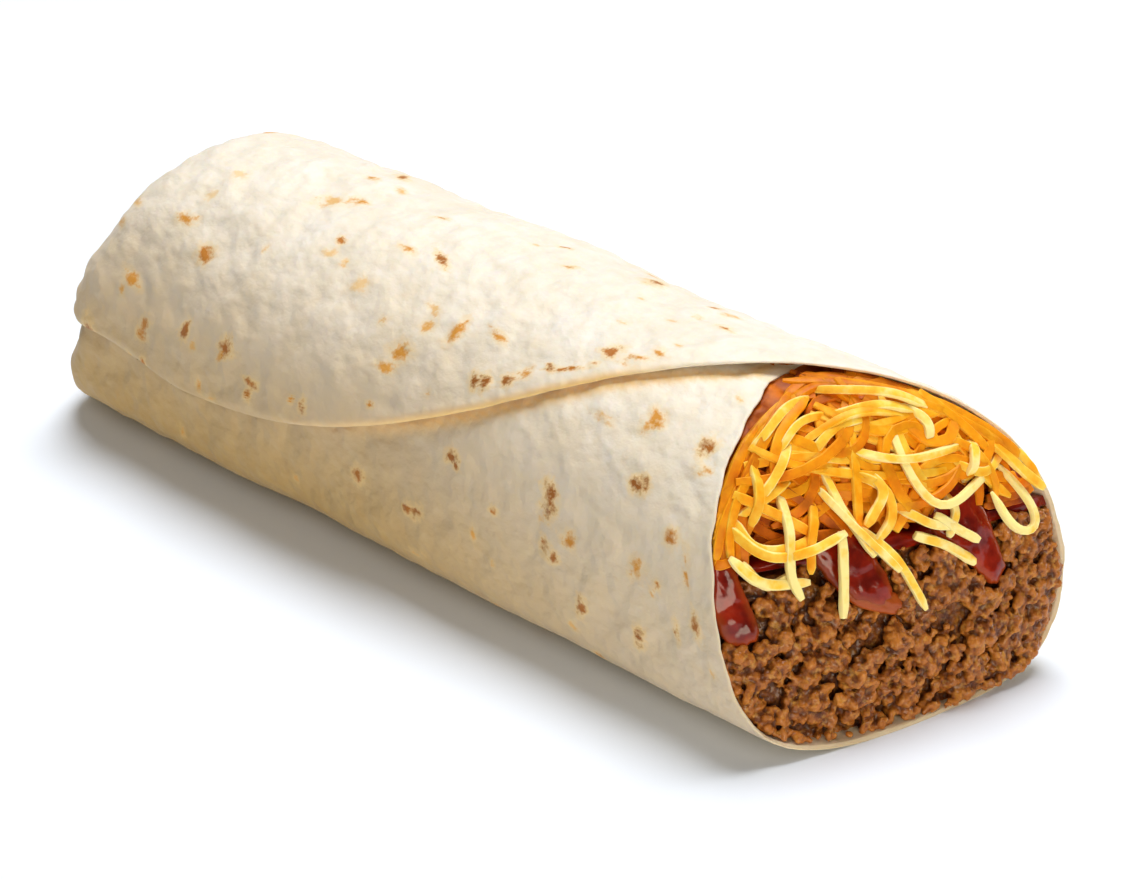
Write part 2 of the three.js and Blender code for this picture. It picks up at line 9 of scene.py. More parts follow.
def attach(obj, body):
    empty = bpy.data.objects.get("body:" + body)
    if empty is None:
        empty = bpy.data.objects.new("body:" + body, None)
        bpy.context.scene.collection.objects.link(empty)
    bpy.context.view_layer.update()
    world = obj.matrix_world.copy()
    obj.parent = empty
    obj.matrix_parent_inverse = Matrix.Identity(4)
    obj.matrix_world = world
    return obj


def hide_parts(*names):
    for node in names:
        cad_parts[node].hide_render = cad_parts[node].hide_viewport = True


# %% [markdown]
# # A rolled burrito
# This notebook dresses four plain solids as food: a toasted flour tortilla, ground beef, red sauce
# and shredded cheese. The solids say where each piece lies and how big it is. Each is replaced here
# by a mesh with the real thing's own surface. Places are worked out in millimetres and turned into
# metres at the very end.

# %% Load the solids
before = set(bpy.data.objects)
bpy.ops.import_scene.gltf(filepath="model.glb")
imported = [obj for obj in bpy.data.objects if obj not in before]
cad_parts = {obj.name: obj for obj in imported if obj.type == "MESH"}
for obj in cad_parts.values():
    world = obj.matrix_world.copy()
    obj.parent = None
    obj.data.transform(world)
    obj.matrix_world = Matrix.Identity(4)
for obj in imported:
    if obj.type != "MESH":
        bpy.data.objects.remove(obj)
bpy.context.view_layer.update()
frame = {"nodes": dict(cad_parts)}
bpy.ops.object.select_all(action="DESELECT")
print("solids:", ", ".join(frame["nodes"]))

# %% [markdown]
# ## Camera
# The picture looks down on the open end from the near side. A long lens, 109 mm, keeps the far end
# nearly as thick as the mouth. Turning a view direction into a camera is easiest with
# to_track_quat, which points the camera's own Z axis backwards, away from what it looks at.

# %% Camera
CAMERA_AROUND = math.radians(43.689)
CAMERA_ABOVE = math.radians(28.794)
CAMERA_AWAY = 0.5538
LOOK_AT = Vector((0.01173, 0.00025, 0.0206))
LENS = 108.58

backwards = Vector(
    (
        math.sin(CAMERA_AROUND) * math.cos(CAMERA_ABOVE),
        -math.cos(CAMERA_AROUND) * math.cos(CAMERA_ABOVE),
        math.sin(CAMERA_ABOVE),
    )
)
bpy.ops.object.camera_add(location=LOOK_AT + backwards * CAMERA_AWAY)
camera = bpy.context.object
camera.rotation_euler = backwards.to_track_quat("Z", "Y").to_euler()
camera.data.lens = LENS
camera.data.sensor_width = 36.0
camera.data.clip_start = 0.01
bpy.context.scene.camera = camera
print("camera at", [round(c, 3) for c in camera.location])

# %% [markdown]
# ## The roll's shape
# A rolled tortilla is a flat disc wrapped round its own middle line, so its round edge shows twice:
# as the slanted rim of the mouth and as the long curve of the loose flap. A place on it is given by
# an angle round the roll, 0 at the top and 90 on the near side, and a distance along it from near
# the tucked end. Small functions that work on whole arrays of numbers keep this quick, and every
# piece below uses the same ones, so that all of them fit.

# %% Sizes of the roll, in millimetres
HALF_WIDTH = 28.8
WIDEST_HEIGHT = 17.4
TOP_HEIGHT = 48.7
LOWER_SQUARENESS = 3.36
UPPER_SQUARENESS = 2.13
FLAT_SINK = 0.3
SHEET = 1.7
DISC_RADIUS = 129.5
DISC_CENTRE_X = 37.0
MOUTH_SKEW = 0.316
MOUTH_DROP = 0.42
MOUTH_TWIST = -1.53
TUCK_X = -6.8
TUCK_LEAN = 6.7
SHOULDER = 12.2
SHOULDER_TOP = 4.6
SHOULDER_SQUARENESS = 2.5
TUCK_LENGTH = 51.0
TUCK_LOWER = 1.4
LIFT_FROM = -118.0
LIFT_TO = -58.0
LAYER_GAP = 0.3
LAYER_STEP = SHEET + LAYER_GAP
LIP_TURN = 50.0
FLAP_DROOP = -3.2
RIM_RECESS = 7.0
MIDDLE_X = 79.564
MIDDLE_Y = -0.246
print("the roll:", 2 * HALF_WIDTH, "mm wide and", TOP_HEIGHT, "mm high")


# %% Helpers for numbers
def place(points):
    """Millimetres on the roll to metres round the origin under its middle."""
    return (np.asarray(points) - (MIDDLE_X, MIDDLE_Y, 0.0)) * 0.001


def ease(value, low, high):
    """0 below low, 1 above high, and a smooth change between them."""
    share = np.clip((np.asarray(value, float) - low) / (high - low), 0, 1)
    return share * share * (3 - 2 * share)


def mix(a, b, share):
    """The value a at share 0, b at share 1 and in between otherwise."""
    return a + (b - a) * share


# %% The section of the roll
def half_at(up):
    """How square the lower or upper half of the section is, and how high."""
    square = np.where(up < 0, LOWER_SQUARENESS, UPPER_SQUARENESS)
    return square, np.where(up < 0, WIDEST_HEIGHT, TOP_HEIGHT - WIDEST_HEIGHT)


def section_at(angle):
    """The roll's section at an angle: across and up from the middle of its widest place."""
    c, s = np.cos(np.radians(angle)), np.sin(np.radians(angle))
    square, height = half_at(c)
    size = (np.abs(s) ** square + np.abs(c) ** square) ** (-1 / square)
    return -HALF_WIDTH * s * size, height * c * size


def share_at(y, z):
    """How far out a place in the section is: 1 is the outside of the roll."""
    up = z + FLAT_SINK - WIDEST_HEIGHT
    square, height = half_at(up)
    return (np.abs(y / HALF_WIDTH) ** square + np.abs(up / height) ** square) ** (1 / square)


def pressed(angle):
    """1 over most of the roll, and little on the underside, which lies flat."""
    return 1 - 0.85 * np.maximum(-np.cos(np.radians(angle)), 0) ** 2


def dough(angle, x):
    """Gentle unevenness of the dough, in long waves."""
    a = np.radians(angle)
    waves = 0.24 * np.sin(0.11 * x + 2 * a) + 0.2 * np.sin(0.07 * x - 3 * a + 1)
    return pressed(angle) * (waves + 0.16 * np.sin(0.19 * x + 5 * a + 2))


def roll_point(angle, x, share=1.0):
    """A point at an angle, a distance along and a share of the way out from the middle."""
    lower = 1 - TUCK_LOWER * (1 - ease(x, 0, TUCK_LENGTH)) / TOP_HEIGHT
    out = share * (1 + dough(angle, x) / HALF_WIDTH)
    across, up = section_at(angle)
    z = (WIDEST_HEIGHT + up * out) * lower - FLAT_SINK
    return np.stack(np.broadcast_arrays(x, across * out, z), -1)


# %% The tucked end
def tuck_x(angle, share, rise):
    """How far along the tucked end lies, from its middle out to its shoulder."""
    lean = TUCK_LEAN * np.cos(np.radians(angle))
    depth = SHOULDER + SHOULDER_TOP * np.cos(np.radians(angle))
    return TUCK_X + lean * share * (2 - share) + rise * depth


def tuck_point(angle, turn):
    """The rounded tucked end: turn 0 is its middle and 90 is where the straight part begins."""
    share = np.sin(np.radians(turn)) ** (2 / SHOULDER_SQUARENESS)
    rise = 1 - np.maximum(np.cos(np.radians(turn)), 0) ** (2 / SHOULDER_SQUARENESS)
    return roll_point(angle, tuck_x(angle, share, rise), share)


# %% The way round, and where the disc's edge lies
WAY_ANGLES = np.arange(181)
side_y, side_z = section_at(180 - WAY_ANGLES)
steps = np.hypot(np.diff(side_y), np.diff(side_z)) * (1 - SHEET / 2 / HALF_WIDTH)
WAY = np.concatenate([[0], np.cumsum(steps)])
HALF_ROUND = WAY[180]


def way_at(angle):
    """The way round the section from the middle of the underside, whichever side is nearer."""
    return np.interp(180 - np.minimum(np.abs(angle), 180), WAY_ANGLES, WAY)


def wound_way(angle):
    """The way along the sheet from the middle of the underside: negative before it, and it keeps on."""
    turns = np.floor((angle + 180) / 360)
    rest = angle - 360 * turns
    inside = np.where(rest < 0, -way_at(rest), way_at(rest))
    return np.where(rest < 0, 2 * HALF_ROUND * (turns - 1) - inside, 2 * HALF_ROUND * turns - inside)


def angle_of_way(way):
    """The angle on the near side that lies a way round from the middle of the underside."""
    return 180 - np.interp(way, WAY, WAY_ANGLES)


# %% The rim of the mouth and the flap's edge
def rim_turn(angle):
    """How far the slant of the mouth moves its rim along the roll."""
    return MOUTH_DROP * np.cos(np.radians(angle)) + MOUTH_TWIST * np.sin(np.radians(2 * angle))


def edge_x(way, y, angle, twisted):
    """How far along the roll the disc's edge lies."""
    along = np.sqrt(np.maximum(DISC_RADIUS**2 - way**2, 0))
    return DISC_CENTRE_X + along + MOUTH_SKEW * y + twisted * rim_turn(angle)


def near_rim(angle):
    """The rim of the layer that goes down the near side."""
    return edge_x(way_at(angle), section_at(angle)[0], angle, 1)


def far_rim(angle):
    """The rim of the layer that comes over from the far side and ends as the flap."""
    way = np.where(angle < 0, way_at(angle), 2 * HALF_ROUND - way_at(angle))
    return edge_x(way, section_at(angle)[0], angle, ease(-angle, 0, 60))


FLAP_ANGLE = float(angle_of_way(2 * HALF_ROUND - DISC_RADIUS))


def flap_edge_angle(x):
    """Where the loose flap's edge lies on the near side, at a distance along the roll."""
    across = np.minimum(x - DISC_CENTRE_X + MOUTH_SKEW * HALF_WIDTH, 0)
    way = np.sqrt(DISC_RADIUS**2 - across**2)
    droop = FLAP_DROOP * np.sin(np.pi * np.clip((x + 6) / 39, 0, 1)) ** 2
    return angle_of_way(2 * HALF_ROUND - way) + droop


print("once round the roll:", round(2 * HALF_ROUND, 1), "mm; flap ends at", round(FLAP_ANGLE, 1), "degrees")

# %% [markdown]
# ## One sheet, wound round twice
# The real tortilla is a single sheet, so it is made as one: a grid whose columns run along the roll
# and whose rows run round it in a spiral. It starts inside, on the far side, goes over the top,
# down the near side and underneath, comes up on the far side and then passes over its own beginning
# as the loose flap. Columns stand closer where the surface shows and where the edge curves. All
# columns begin at the middle of the tucked end, apart from the flap's, which begin at a lip on the
# shoulder. A grid primitive gives the connections, and moving its vertices in code gives the
# spiral, which no bend or twist tool would follow this exactly.

# %% Columns and rows of the sheet
INNER_START = -100.0
COLUMN_STEP = 1.04
HIDDEN_STEP = 9.0
UNDER_STEP = 2.1
ROUNDING_ROWS = [0.0, 0.1, 0.32, 0.7, 1.2]
# Angles, counted on round the spiral, where one kind of column gives way to the next.
SHOWN_FROM = 4
UNDER_FROM = 122
UNDER_TO = 238
# Where the flap leaves the layer below, and where its columns begin at a lip on the shoulder.
FLAP_FROM = 360 + LIFT_FROM
LIP_FROM = 262
# Millimetres to a degree on the tucked end, and a way longer than any on the sheet.
MM_IN_TURN = 0.45
FAR_AWAY = 99.0


def columns_between(first, last, step):
    """Angles between two, a step in millimetres apart on the way round, without the last."""
    angles = np.linspace(first, last, 400)
    way = wound_way(angles)
    count = max(2, int(round((way[-1] - way[0]) / step)))
    return np.interp(np.linspace(way[0], way[-1], count + 1)[:-1], way, angles)


# The flap's columns are spaced by the disc's own angle, so its curved edge is even.
top_turn = math.asin(HALF_ROUND / DISC_RADIUS)
flap_turns = np.linspace(top_turn, math.pi / 2, 80)
flap_ways = DISC_RADIUS * np.sin(flap_turns)
flap_columns = 360 + angle_of_way(2 * HALF_ROUND - flap_ways)
column_angles = np.concatenate(
    [
        columns_between(INNER_START, SHOWN_FROM, HIDDEN_STEP),
        columns_between(SHOWN_FROM, UNDER_FROM, COLUMN_STEP),
        columns_between(UNDER_FROM, UNDER_TO, UNDER_STEP),
        columns_between(UNDER_TO, 360, COLUMN_STEP),
        flap_columns,
    ]
)
tuck_rows = np.concatenate([[0, 0.004, 0.014, 0.035], np.linspace(0.07, 1, 23)])
along_rows = np.linspace(0, 1, 158)[1:]
COLUMNS = len(column_angles)
ROWS = len(tuck_rows) + len(along_rows) + len(ROUNDING_ROWS)
print("columns:", COLUMNS, "; rows:", ROWS)


# %% Points of the sheet
def under_flap(angle):
    """1 where the flap covers the rim of the layer below it, on the far side."""
    return ease(angle, LIFT_FROM, -92) * (1 - ease(angle, -12, 1))


def sheet_point(full, row_kind, row):
    """Points of the wound sheet before its layers are set apart, their angles and their way to a lip."""
    flap = full > FLAP_FROM
    spread = np.clip((full - FLAP_FROM) / (FLAP_ANGLE - LIFT_FROM), 0, 1)

    def true_angle(x):
        return np.where(flap, FLAP_FROM + spread * (flap_edge_angle(x) - LIFT_FROM), full)

    start_x = tuck_x(full, 1, 1)
    for _ in range(2):
        start_angle = true_angle(start_x)
        start_x = tuck_x(start_angle, 1, 1)
    turned = np.where(full > 180, full - 360, full)
    recess = RIM_RECESS * under_flap(turned)
    inner = np.where(turned >= 0, near_rim(turned), far_rim(turned) - recess)
    rim = np.where(flap, far_rim(turned), inner)
    if row_kind == "tuck":
        first_turn = LIP_TURN * ease(full, LIP_FROM, 300)
        turn = mix(first_turn, 90, row)
        lip_gone = np.where(full > LIP_FROM, (turn - first_turn) * MM_IN_TURN, FAR_AWAY)
        return tuck_point(start_angle, turn), start_angle, lip_gone
    if row_kind == "along":
        x = mix(start_x, rim - ROUNDING_ROWS[-1] - 0.6, row)
    else:
        x = rim - row
    lip_gone = np.full(x.shape, FAR_AWAY)
    angle = true_angle(x)
    return roll_point(angle, x), angle, lip_gone


grid_points = np.zeros((ROWS, COLUMNS, 3))
grid_angles = np.zeros((ROWS, COLUMNS))
grid_lip = np.zeros((ROWS, COLUMNS))
kinds = [("tuck", r) for r in tuck_rows] + [("along", r) for r in along_rows]
kinds += [("edge", r) for r in reversed(ROUNDING_ROWS)]
for j, (kind, row) in enumerate(kinds):
    grid_points[j], grid_angles[j], grid_lip[j] = sheet_point(column_angles, kind, row)
print("length of the sheet:", round(float(np.ptp(grid_points[..., 0])), 1), "mm")

# %% Distance from the sheet's edge, for a rounded lip
HALF_SHEET = SHEET / 2
grid_x = grid_points[..., 0]
grid_way = wound_way(grid_angles)
turned_angles = np.where(grid_angles > 180, grid_angles - 360, grid_angles)
twisted = np.where(turned_angles >= 0, np.where(grid_angles > 180, 0, 1), ease(-turned_angles, 0, 60))
skewed = MOUTH_SKEW * section_at(turned_angles)[0]
disc_x = grid_x - DISC_CENTRE_X - skewed - twisted * rim_turn(turned_angles)
rim_gone = DISC_RADIUS - np.hypot(grid_way, np.maximum(disc_x, 0))
column_full = np.broadcast_to(column_angles, grid_angles.shape)
side_way = wound_way(360 + flap_edge_angle(grid_x)) - grid_way
side_gone = np.where((column_full > 380) & (disc_x < 6), side_way, FAR_AWAY)
inner_gone = np.where(column_full < 0, grid_way - wound_way(INNER_START), FAR_AWAY)
rim_gone = np.where(column_full < 1, FAR_AWAY, rim_gone)
edge_gone = np.maximum(np.minimum.reduce([rim_gone, side_gone, grid_lip, inner_gone]), 0)

# The sheet is thinner near its own round edge, most of all at the mouth.
EDGE_THIN_LIP = 0.62
EDGE_THIN_MOUTH = 0.36
THIN_OVER = 8.0
LEAST_ROUND = 0.16
# 0 on the rest of the sheet and 1 far down the flap, on the near side.
down_flap = ease(column_full, 372, 392)
lip_thin = mix(1.0, EDGE_THIN_LIP, ease(grid_x, 50, 140))
thin_edge = mix(EDGE_THIN_MOUTH, lip_thin, ease(column_full, 358, 376))
thin = mix(thin_edge, 1, ease(np.minimum(rim_gone, side_gone), 0, THIN_OVER))
lip_round = HALF_SHEET * thin * (1 + 1.1 * down_flap)
roundness = np.sqrt(1 - (1 - np.minimum(edge_gone / lip_round, 1)) ** 2)
roundness = np.maximum(roundness, LEAST_ROUND)
print("vertices at the edge:", int((edge_gone < 1).sum()))

# %% Set the layers apart
lift = ease(column_full, FLAP_FROM, LIFT_TO + 360) * LAYER_STEP
sunk = ease(column_full, LIFT_FROM, LIFT_TO) * LAYER_STEP - LAYER_STEP
sunk = np.where(column_full < -40, sunk, 0)
out_by = lift + sunk - HALF_SHEET * thin * (1 - roundness)
# Where the flap's edge is thin, it lies down on the layer below. The middle of its lip stands up a little.
out_by = out_by - SHEET * (1 - thin) * ease(column_full, 364, 388)
lip_raised = 0.45 * np.exp(-((edge_gone / 5) ** 2)) * down_flap
lip_raised = lip_raised * ease(grid_x, 30, 60) * (1 - ease(grid_x, 80, 115))
out_by = out_by + lip_raised
sheet_depth = thin * roundness


def grid_normals(points):
    """Outward directions over a grid of points, from the neighbours of each."""
    along = np.gradient(points, axis=0)
    across = np.gradient(points, axis=1)
    normals = np.cross(across, along)
    length = np.linalg.norm(normals, axis=-1, keepdims=True)
    flat = length[..., 0] < 1e-7
    normals = normals / np.maximum(length, 1e-9)
    normals[flat] = (-1, 0, 0)
    return normals


sheet_normals = grid_normals(grid_points)
outward = grid_points[60, :, 1] * sheet_normals[60, :, 1]
if outward.sum() < 0:
    sheet_normals = -sheet_normals
    sheet_normals[0] = (-1, 0, 0)
sheet_normals[:2] = sheet_normals[2]
shaped = grid_points + sheet_normals * out_by[..., None]
print("layers moved by", round(out_by.min(), 2), "to", round(out_by.max(), 2), "mm")


# %% [markdown]
# ## Lumps, pebbles and creases
# A cooked tortilla isn't smooth: steam leaves soft lumps as wide as a fingertip, the dough has a
# fine pebbled skin, and rolling it puts faint slanted creases in its sides. These are real height,
# not only shading, so they show on the outline. Smooth noise at several sizes, added along the
# surface's own direction, does it.

# %% Noise helpers
SEED_STEP = 17.3


def noise_at(points, size, seed=0):
    """Smooth noise from -1 to 1 at each point, with bumps about this many millimetres wide."""
    scaled = (points.reshape(-1, 3) / size + SEED_STEP * seed).tolist()
    return np.array([noise.noise(p) for p in scaled]).reshape(points.shape[:-1])


def noise_along(values, size, seed):
    """The same noise for plain numbers, as if they lay along a line."""
    return noise_at(np.stack([values, values * 0, values * 0], -1), size, seed)


# %% Lumps and creases
sheet_space = np.stack([grid_x, grid_way, np.zeros_like(grid_x)], -1)
quiet = pressed(grid_angles) ** 2 * ease(edge_gone, 0, 3)
far_third = 1 + 0.4 * (1 - ease(grid_x, 20, 85))
lumps = 0.2 * noise_at(sheet_space, 11, 1) + 0.4 * noise_at(sheet_space, 5.2, 2)
pebbles = 0.32 * noise_at(sheet_space, 3.2, 3)
turned_space = np.stack([grid_x * 0.8 + grid_way * 0.6, grid_way * 0.8 - grid_x * 0.6, grid_x * 0], -1)
creases = 0.1 * noise_at(turned_space / (6.0, 1.0, 1.0), 2.2, 4) * ease(-grid_points[..., 1], 0, 20)
relief = quiet * ((lumps + pebbles) * far_third + creases)

# Gathers on the tucked end, where the dough was folded in.
gather = np.exp(-(((grid_x - TUCK_X - 4) / 6.5) ** 2))
gather *= ease(share_at(grid_points[..., 1], grid_points[..., 2]), 0.1, 0.5)
gather *= np.where(column_full > LIP_FROM, 0.35, 1.0)
folds = np.abs(np.sin(np.radians(grid_angles * 4.5 + 24 * np.sin(np.radians(grid_angles * 2))))) ** 0.7
relief = relief - 0.3 * gather * (1 - folds) * pressed(grid_angles)
print("relief from", round(relief.min(), 2), "to", round(relief.max(), 2), "mm")

# %% [markdown]
# ## Toasted spots
# The hot plate touches the dough only where it puffs up, so the spots are small, ragged and
# scattered, golden on top of the roll and browner on its side. Their places are listed. Each
# vertex stores how deep in a spot it lies, as an attribute, and the material breaks that up with
# fine noise. That keeps the spots fixed to the dough without any painted picture. The darkest also
# rise a little, as blisters do.

# %% Where the spots are
# Angle round the roll, distance along it, length along and round, and how dark.
FLAP_SPOTS = [
    (80, 6.5, 2.4, 3.4, 0.9), (59, 15, 3.9, 2, 0.6), (63, 13.5, 1.2, 2, 0.5),
    (72, 20.5, 2.7, 3.4, 0.7), (67, 31.4, 2, 3, 0.9), (70, 34, 1.5, 1.5, 0.4),
    (66, 42, 3, 2.7, 0.9), (69, 41, 1.2, 2.5, 0.5), (83, 17, 1.3, 1.3, 0.4),
    (83, 21.3, 1.2, 2.2, 0.8), (44, 29, 3.4, 2.7, 0.75), (36, 21, 4, 1.6, 0.6),
    (37, 9, 2, 1.5, 0.35), (45, 8, 2, 1.5, 0.4), (15, 23, 3, 2.5, 0.2), (26, 22, 2.5, 2.5, 0.2),
    (10, 42.6, 5, 3, 0.4), (5, 46.5, 3, 2, 0.6), (-10, 41.5, 2.5, 1.5, 0.6),
    (-10, 48.5, 3, 1.5, 0.4), (24, 53, 2, 1.2, 0.8), (29, 53, 3, 1.5, 0.3),
    (30, 57, 1.5, 1.5, 0.35), (36, 41, 1.3, 1.3, 0.4), (17, 65, 3, 1.3, 0.65),
    (15, 71.5, 5, 1.3, 0.9), (-2, 62.5, 3.2, 1.1, 0.65), (34, 62.5, 4, 2.5, 0.25),
    (41, 71, 1.5, 1.5, 0.4), (47, 77, 3.5, 3, 0.6), (52.5, 75.5, 3.5, 1.3, 0.55),
    (37.5, 79.3, 2, 2, 0.5), (32, 78.5, 4, 1.3, 0.35), (35, 85, 2, 4, 0.6), (31, 92.5, 4, 1.3, 0.6),
    (45.5, 93, 2, 2.2, 0.95), (44.8, 95.2, 1.6, 2.4, 0.95), (54, 85.5, 1.3, 1.3, 0.35),
    (42, 99, 2, 1.8, 0.95), (38, 101.6, 2, 1.8, 0.6), (34, 105, 1.8, 1.2, 0.95),
    (33, 107, 1.5, 0.8, 0.8), (31, 108.7, 1.5, 0.8, 0.8), (28.5, 111.3, 1.5, 0.9, 0.8),
    (22, 112.5, 3, 2, 0.85), (23.5, 115.5, 2.5, 1, 0.65), (20.7, 117.3, 2.5, 1, 0.65),
    (16.6, 119.5, 2.5, 1.5, 0.6), (10.7, 120.7, 2, 1, 0.35), (-7, 122, 3, 1, 0.8),
    (-7.4, 116, 2, 0.9, 0.8), (0, 114, 2, 1, 0.35), (-5, 105.5, 2, 1, 0.3), (10, 109, 2, 1, 0.3),
    (-9, 80.5, 2, 1, 0.35), (-15, 83.5, 2.5, 1, 0.8), (-5, 90, 2.5, 1, 0.8),
    (73, 48.5, 3.5, 1.2, 0.85), (76.6, 48.6, 1.3, 2, 0.85), (72.5, 61.3, 1.8, 2.2, 0.85),
    (72, 58.5, 1, 1, 0.6), (63.5, 75, 1.3, 1.3, 0.7), (81, 36, 1, 2.5, 0.5),
    (83.6, 39, 2.5, 1.2, 0.4),
]
INNER_SPOTS = [
    (68, 92.5, 2.6, 1.8, 0.95), (70, 94.3, 1.6, 1.6, 0.9), (87.7, 72.4, 2.5, 2.5, 0.85),
    (115, 28, 1.3, 2, 0.5), (109, 57, 1.3, 2, 0.5), (34, 126, 3, 3, 0.6),
    (37, 125.3, 1.4, 2.4, 0.5), (40, 117.5, 4, 1.3, 0.35), (16, 135, 2, 1, 0.35),
    (35, 136.6, 2.5, 3, 0.9), (41.7, 138.5, 3, 1.3, 0.6), (53, 128.4, 2, 2.2, 0.95),
    (52, 130.2, 1.4, 2.5, 0.95), (48, 124.6, 1, 1, 0.4), (65, 113.2, 2.4, 3, 0.95),
    (69.5, 113.8, 2.8, 3.4, 0.95), (73.5, 112.5, 1.6, 1.6, 0.4), (77.7, 103, 1.5, 1.5, 0.8),
    (88, 99, 1, 3, 0.5), (90.6, 84.4, 2.2, 1.8, 0.85), (90, 86.6, 1.8, 2.4, 0.9),
    (75.7, 119, 2.5, 2.5, 0.65), (81, 113.8, 2, 2.6, 0.9), (83, 116, 2.4, 2.2, 0.9),
    (75, 132.5, 2.5, 3, 0.6), (79.5, 136, 1.2, 1.2, 0.6), (62, 137.8, 2.5, 2.4, 0.75),
    (66, 141.5, 1, 3, 0.6), (71, 142, 1, 3.4, 0.6), (83, 145.4, 1.8, 3.5, 0.85),
    (76.8, 137, 1.3, 1.3, 0.8), (87.6, 141.4, 1.2, 3, 0.85), (100, 134, 2, 3.5, 0.95),
    (98, 122.2, 2, 3.5, 0.9), (115, 85.5, 3, 1.2, 0.5), (99, 103.4, 1, 1.5, 0.5),
    (113, 120, 2, 1.5, 0.4), (97, 149, 1.2, 2, 0.4),
]
HIDDEN_SPOTS = 66
SPOT_SPREAD = 0.56
BLISTERED = 0.7

# %% Toast the sheet
spot_random = np.random.default_rng(12)
spots = [(a + 360, x, along, round_, dark) for a, x, along, round_, dark in FLAP_SPOTS]
spots += INNER_SPOTS
for _ in range(HIDDEN_SPOTS):
    hidden_angle = spot_random.uniform(128, 343)
    hidden_x = spot_random.uniform(-4, 150)
    hidden_size = spot_random.uniform(1.1, 3.2, 2)
    spots.append((hidden_angle, hidden_x, *hidden_size, spot_random.uniform(0.35, 0.95)))

spot_angle, spot_x, spot_long, spot_round, spot_dark = np.array(spots, float).T
spot_way = wound_way(spot_angle)
toast = np.full(grid_x.shape, -1.0)
toast_dark = np.zeros(grid_x.shape)
blister = np.zeros(grid_x.shape)
for k in range(len(spots)):
    tilt = spot_random.uniform(-0.5, 0.5)
    dx = grid_x - spot_x[k]
    dw = grid_way - spot_way[k]
    long_way = (dx * math.cos(tilt) + dw * math.sin(tilt)) / (SPOT_SPREAD * spot_long[k])
    round_way = (dw * math.cos(tilt) - dx * math.sin(tilt)) / (SPOT_SPREAD * spot_round[k])
    inside = 1 - np.hypot(long_way, round_way)
    closer = inside > toast
    toast = np.where(closer, inside, toast)
    toast_dark = np.where(closer, spot_dark[k], toast_dark)
    if spot_dark[k] > BLISTERED:
        blister = np.maximum(blister, np.clip(inside * 0.5 + 0.6, 0, 1) ** 2)
toast = np.where(column_full < 0, -1, toast)
relief = relief + 0.16 * quiet * blister
shaped = shaped + sheet_normals * relief[..., None]

# The mouth's rim isn't cut but torn and cooked, so it wavers a little.
waver = 0.5 * noise_along(grid_way, 4.2, 6) + 0.22 * noise_along(grid_way, 1.9, 7)
shaped[..., 0] += waver * np.exp(-((rim_gone / 3) ** 2)) * pressed(grid_angles) * (column_full > 3)
shaped[..., 2] = np.maximum(shaped[..., 2], 0)
print("toasted spots:", len(spots))


# %% [markdown]
# ## From grid to sheet
# The grid primitive is added with the right number of squares, its vertices are moved to the
# worked-out places, and the row that meets at the middle of the tucked end is merged. Solidify then
# gives the sheet its thickness inwards, thinner at the edge, where a vertex group says so, which
# makes the lip round. Selecting an object and running edit-mode operators on it takes the same few
# lines each time, so helpers do it.

# %% Helpers for meshes
def moved_grid(name, points):
    """A grid primitive with its vertices moved to an array of places, rows first."""
    rows, columns = points.shape[:2]
    bpy.ops.mesh.primitive_grid_add(x_subdivisions=columns - 1, y_subdivisions=rows - 1, size=2)
    made = bpy.context.object
    made.name = made.data.name = name
    count = len(made.data.vertices)
    flat = np.empty(count * 3)
    made.data.vertices.foreach_get("co", flat)
    flat = flat.reshape(-1, 3)
    i = np.round((flat[:, 0] + 1) / 2 * (columns - 1)).astype(int)
    j = np.round((flat[:, 1] + 1) / 2 * (rows - 1)).astype(int)
    made.data.vertices.foreach_set("co", place(points[j, i]).ravel())
    made.data.update()
    return made, j, i


def keep_values(made, name, values):
    """Stores one number for each vertex, for a material to read."""
    layer = made.data.attributes.new(name, "FLOAT", "POINT")
    layer.data.foreach_set("value", np.asarray(values, np.float32))


# %% Select and edit
def select_only(first, *others):
    """Selects these objects alone and makes the first the active one."""
    bpy.ops.object.select_all(action="DESELECT")
    for one in (first, *others):
        one.select_set(True)
    bpy.context.view_layer.objects.active = first


def edit(made, *operators):
    """Runs edit-mode operators on all of an object."""
    select_only(made)
    bpy.ops.object.mode_set(mode="EDIT")
    bpy.ops.mesh.select_all(action="SELECT")
    for run in operators:
        run()
    bpy.ops.object.mode_set(mode="OBJECT")


def apply_all(made):
    """Applies all of an object's modifiers."""
    select_only(made)
    for modifier in list(made.modifiers):
        bpy.ops.object.modifier_apply(modifier=modifier.name)


def joined(first, *others):
    """Joins other objects into the first."""
    select_only(first, *others)
    bpy.ops.object.join()
    return first


# %% Thickness from a vertex group
def keep_thickness(made, depth):
    """Stores each vertex's share of the full thickness in a vertex group."""
    group = made.vertex_groups.new(name="thickness")
    levels = np.round(depth, 2)
    for level in np.unique(levels):
        group.add([int(v) for v in np.nonzero(levels == level)[0]], float(level), "REPLACE")


def thicken(made):
    """Gives a sheet its thickness inwards."""
    solidify = made.modifiers.new("thickness", "SOLIDIFY")
    solidify.thickness = SHEET * 0.001
    solidify.offset = -1
    solidify.vertex_group = "thickness"
    apply_all(made)
    bpy.ops.object.shade_smooth()


# %% Painted shade low on the sheet and beside its lip, and a painted glow on the lip
rim_bearings = np.linspace(0, FLAP_ANGLE, 200)
rim_angle = np.interp(grid_x, far_rim(rim_bearings)[::-1], rim_bearings[::-1])
lip_angle = np.where(grid_x < DISC_CENTRE_X - 8, flap_edge_angle(grid_x), rim_angle)
lip_line = wound_way(lip_angle) - grid_way
lip_shadow_line = np.exp(-(((lip_line + 0.6) / 1.3) ** 2)) * (column_full < 180) * ease(grid_x, 10, 40)
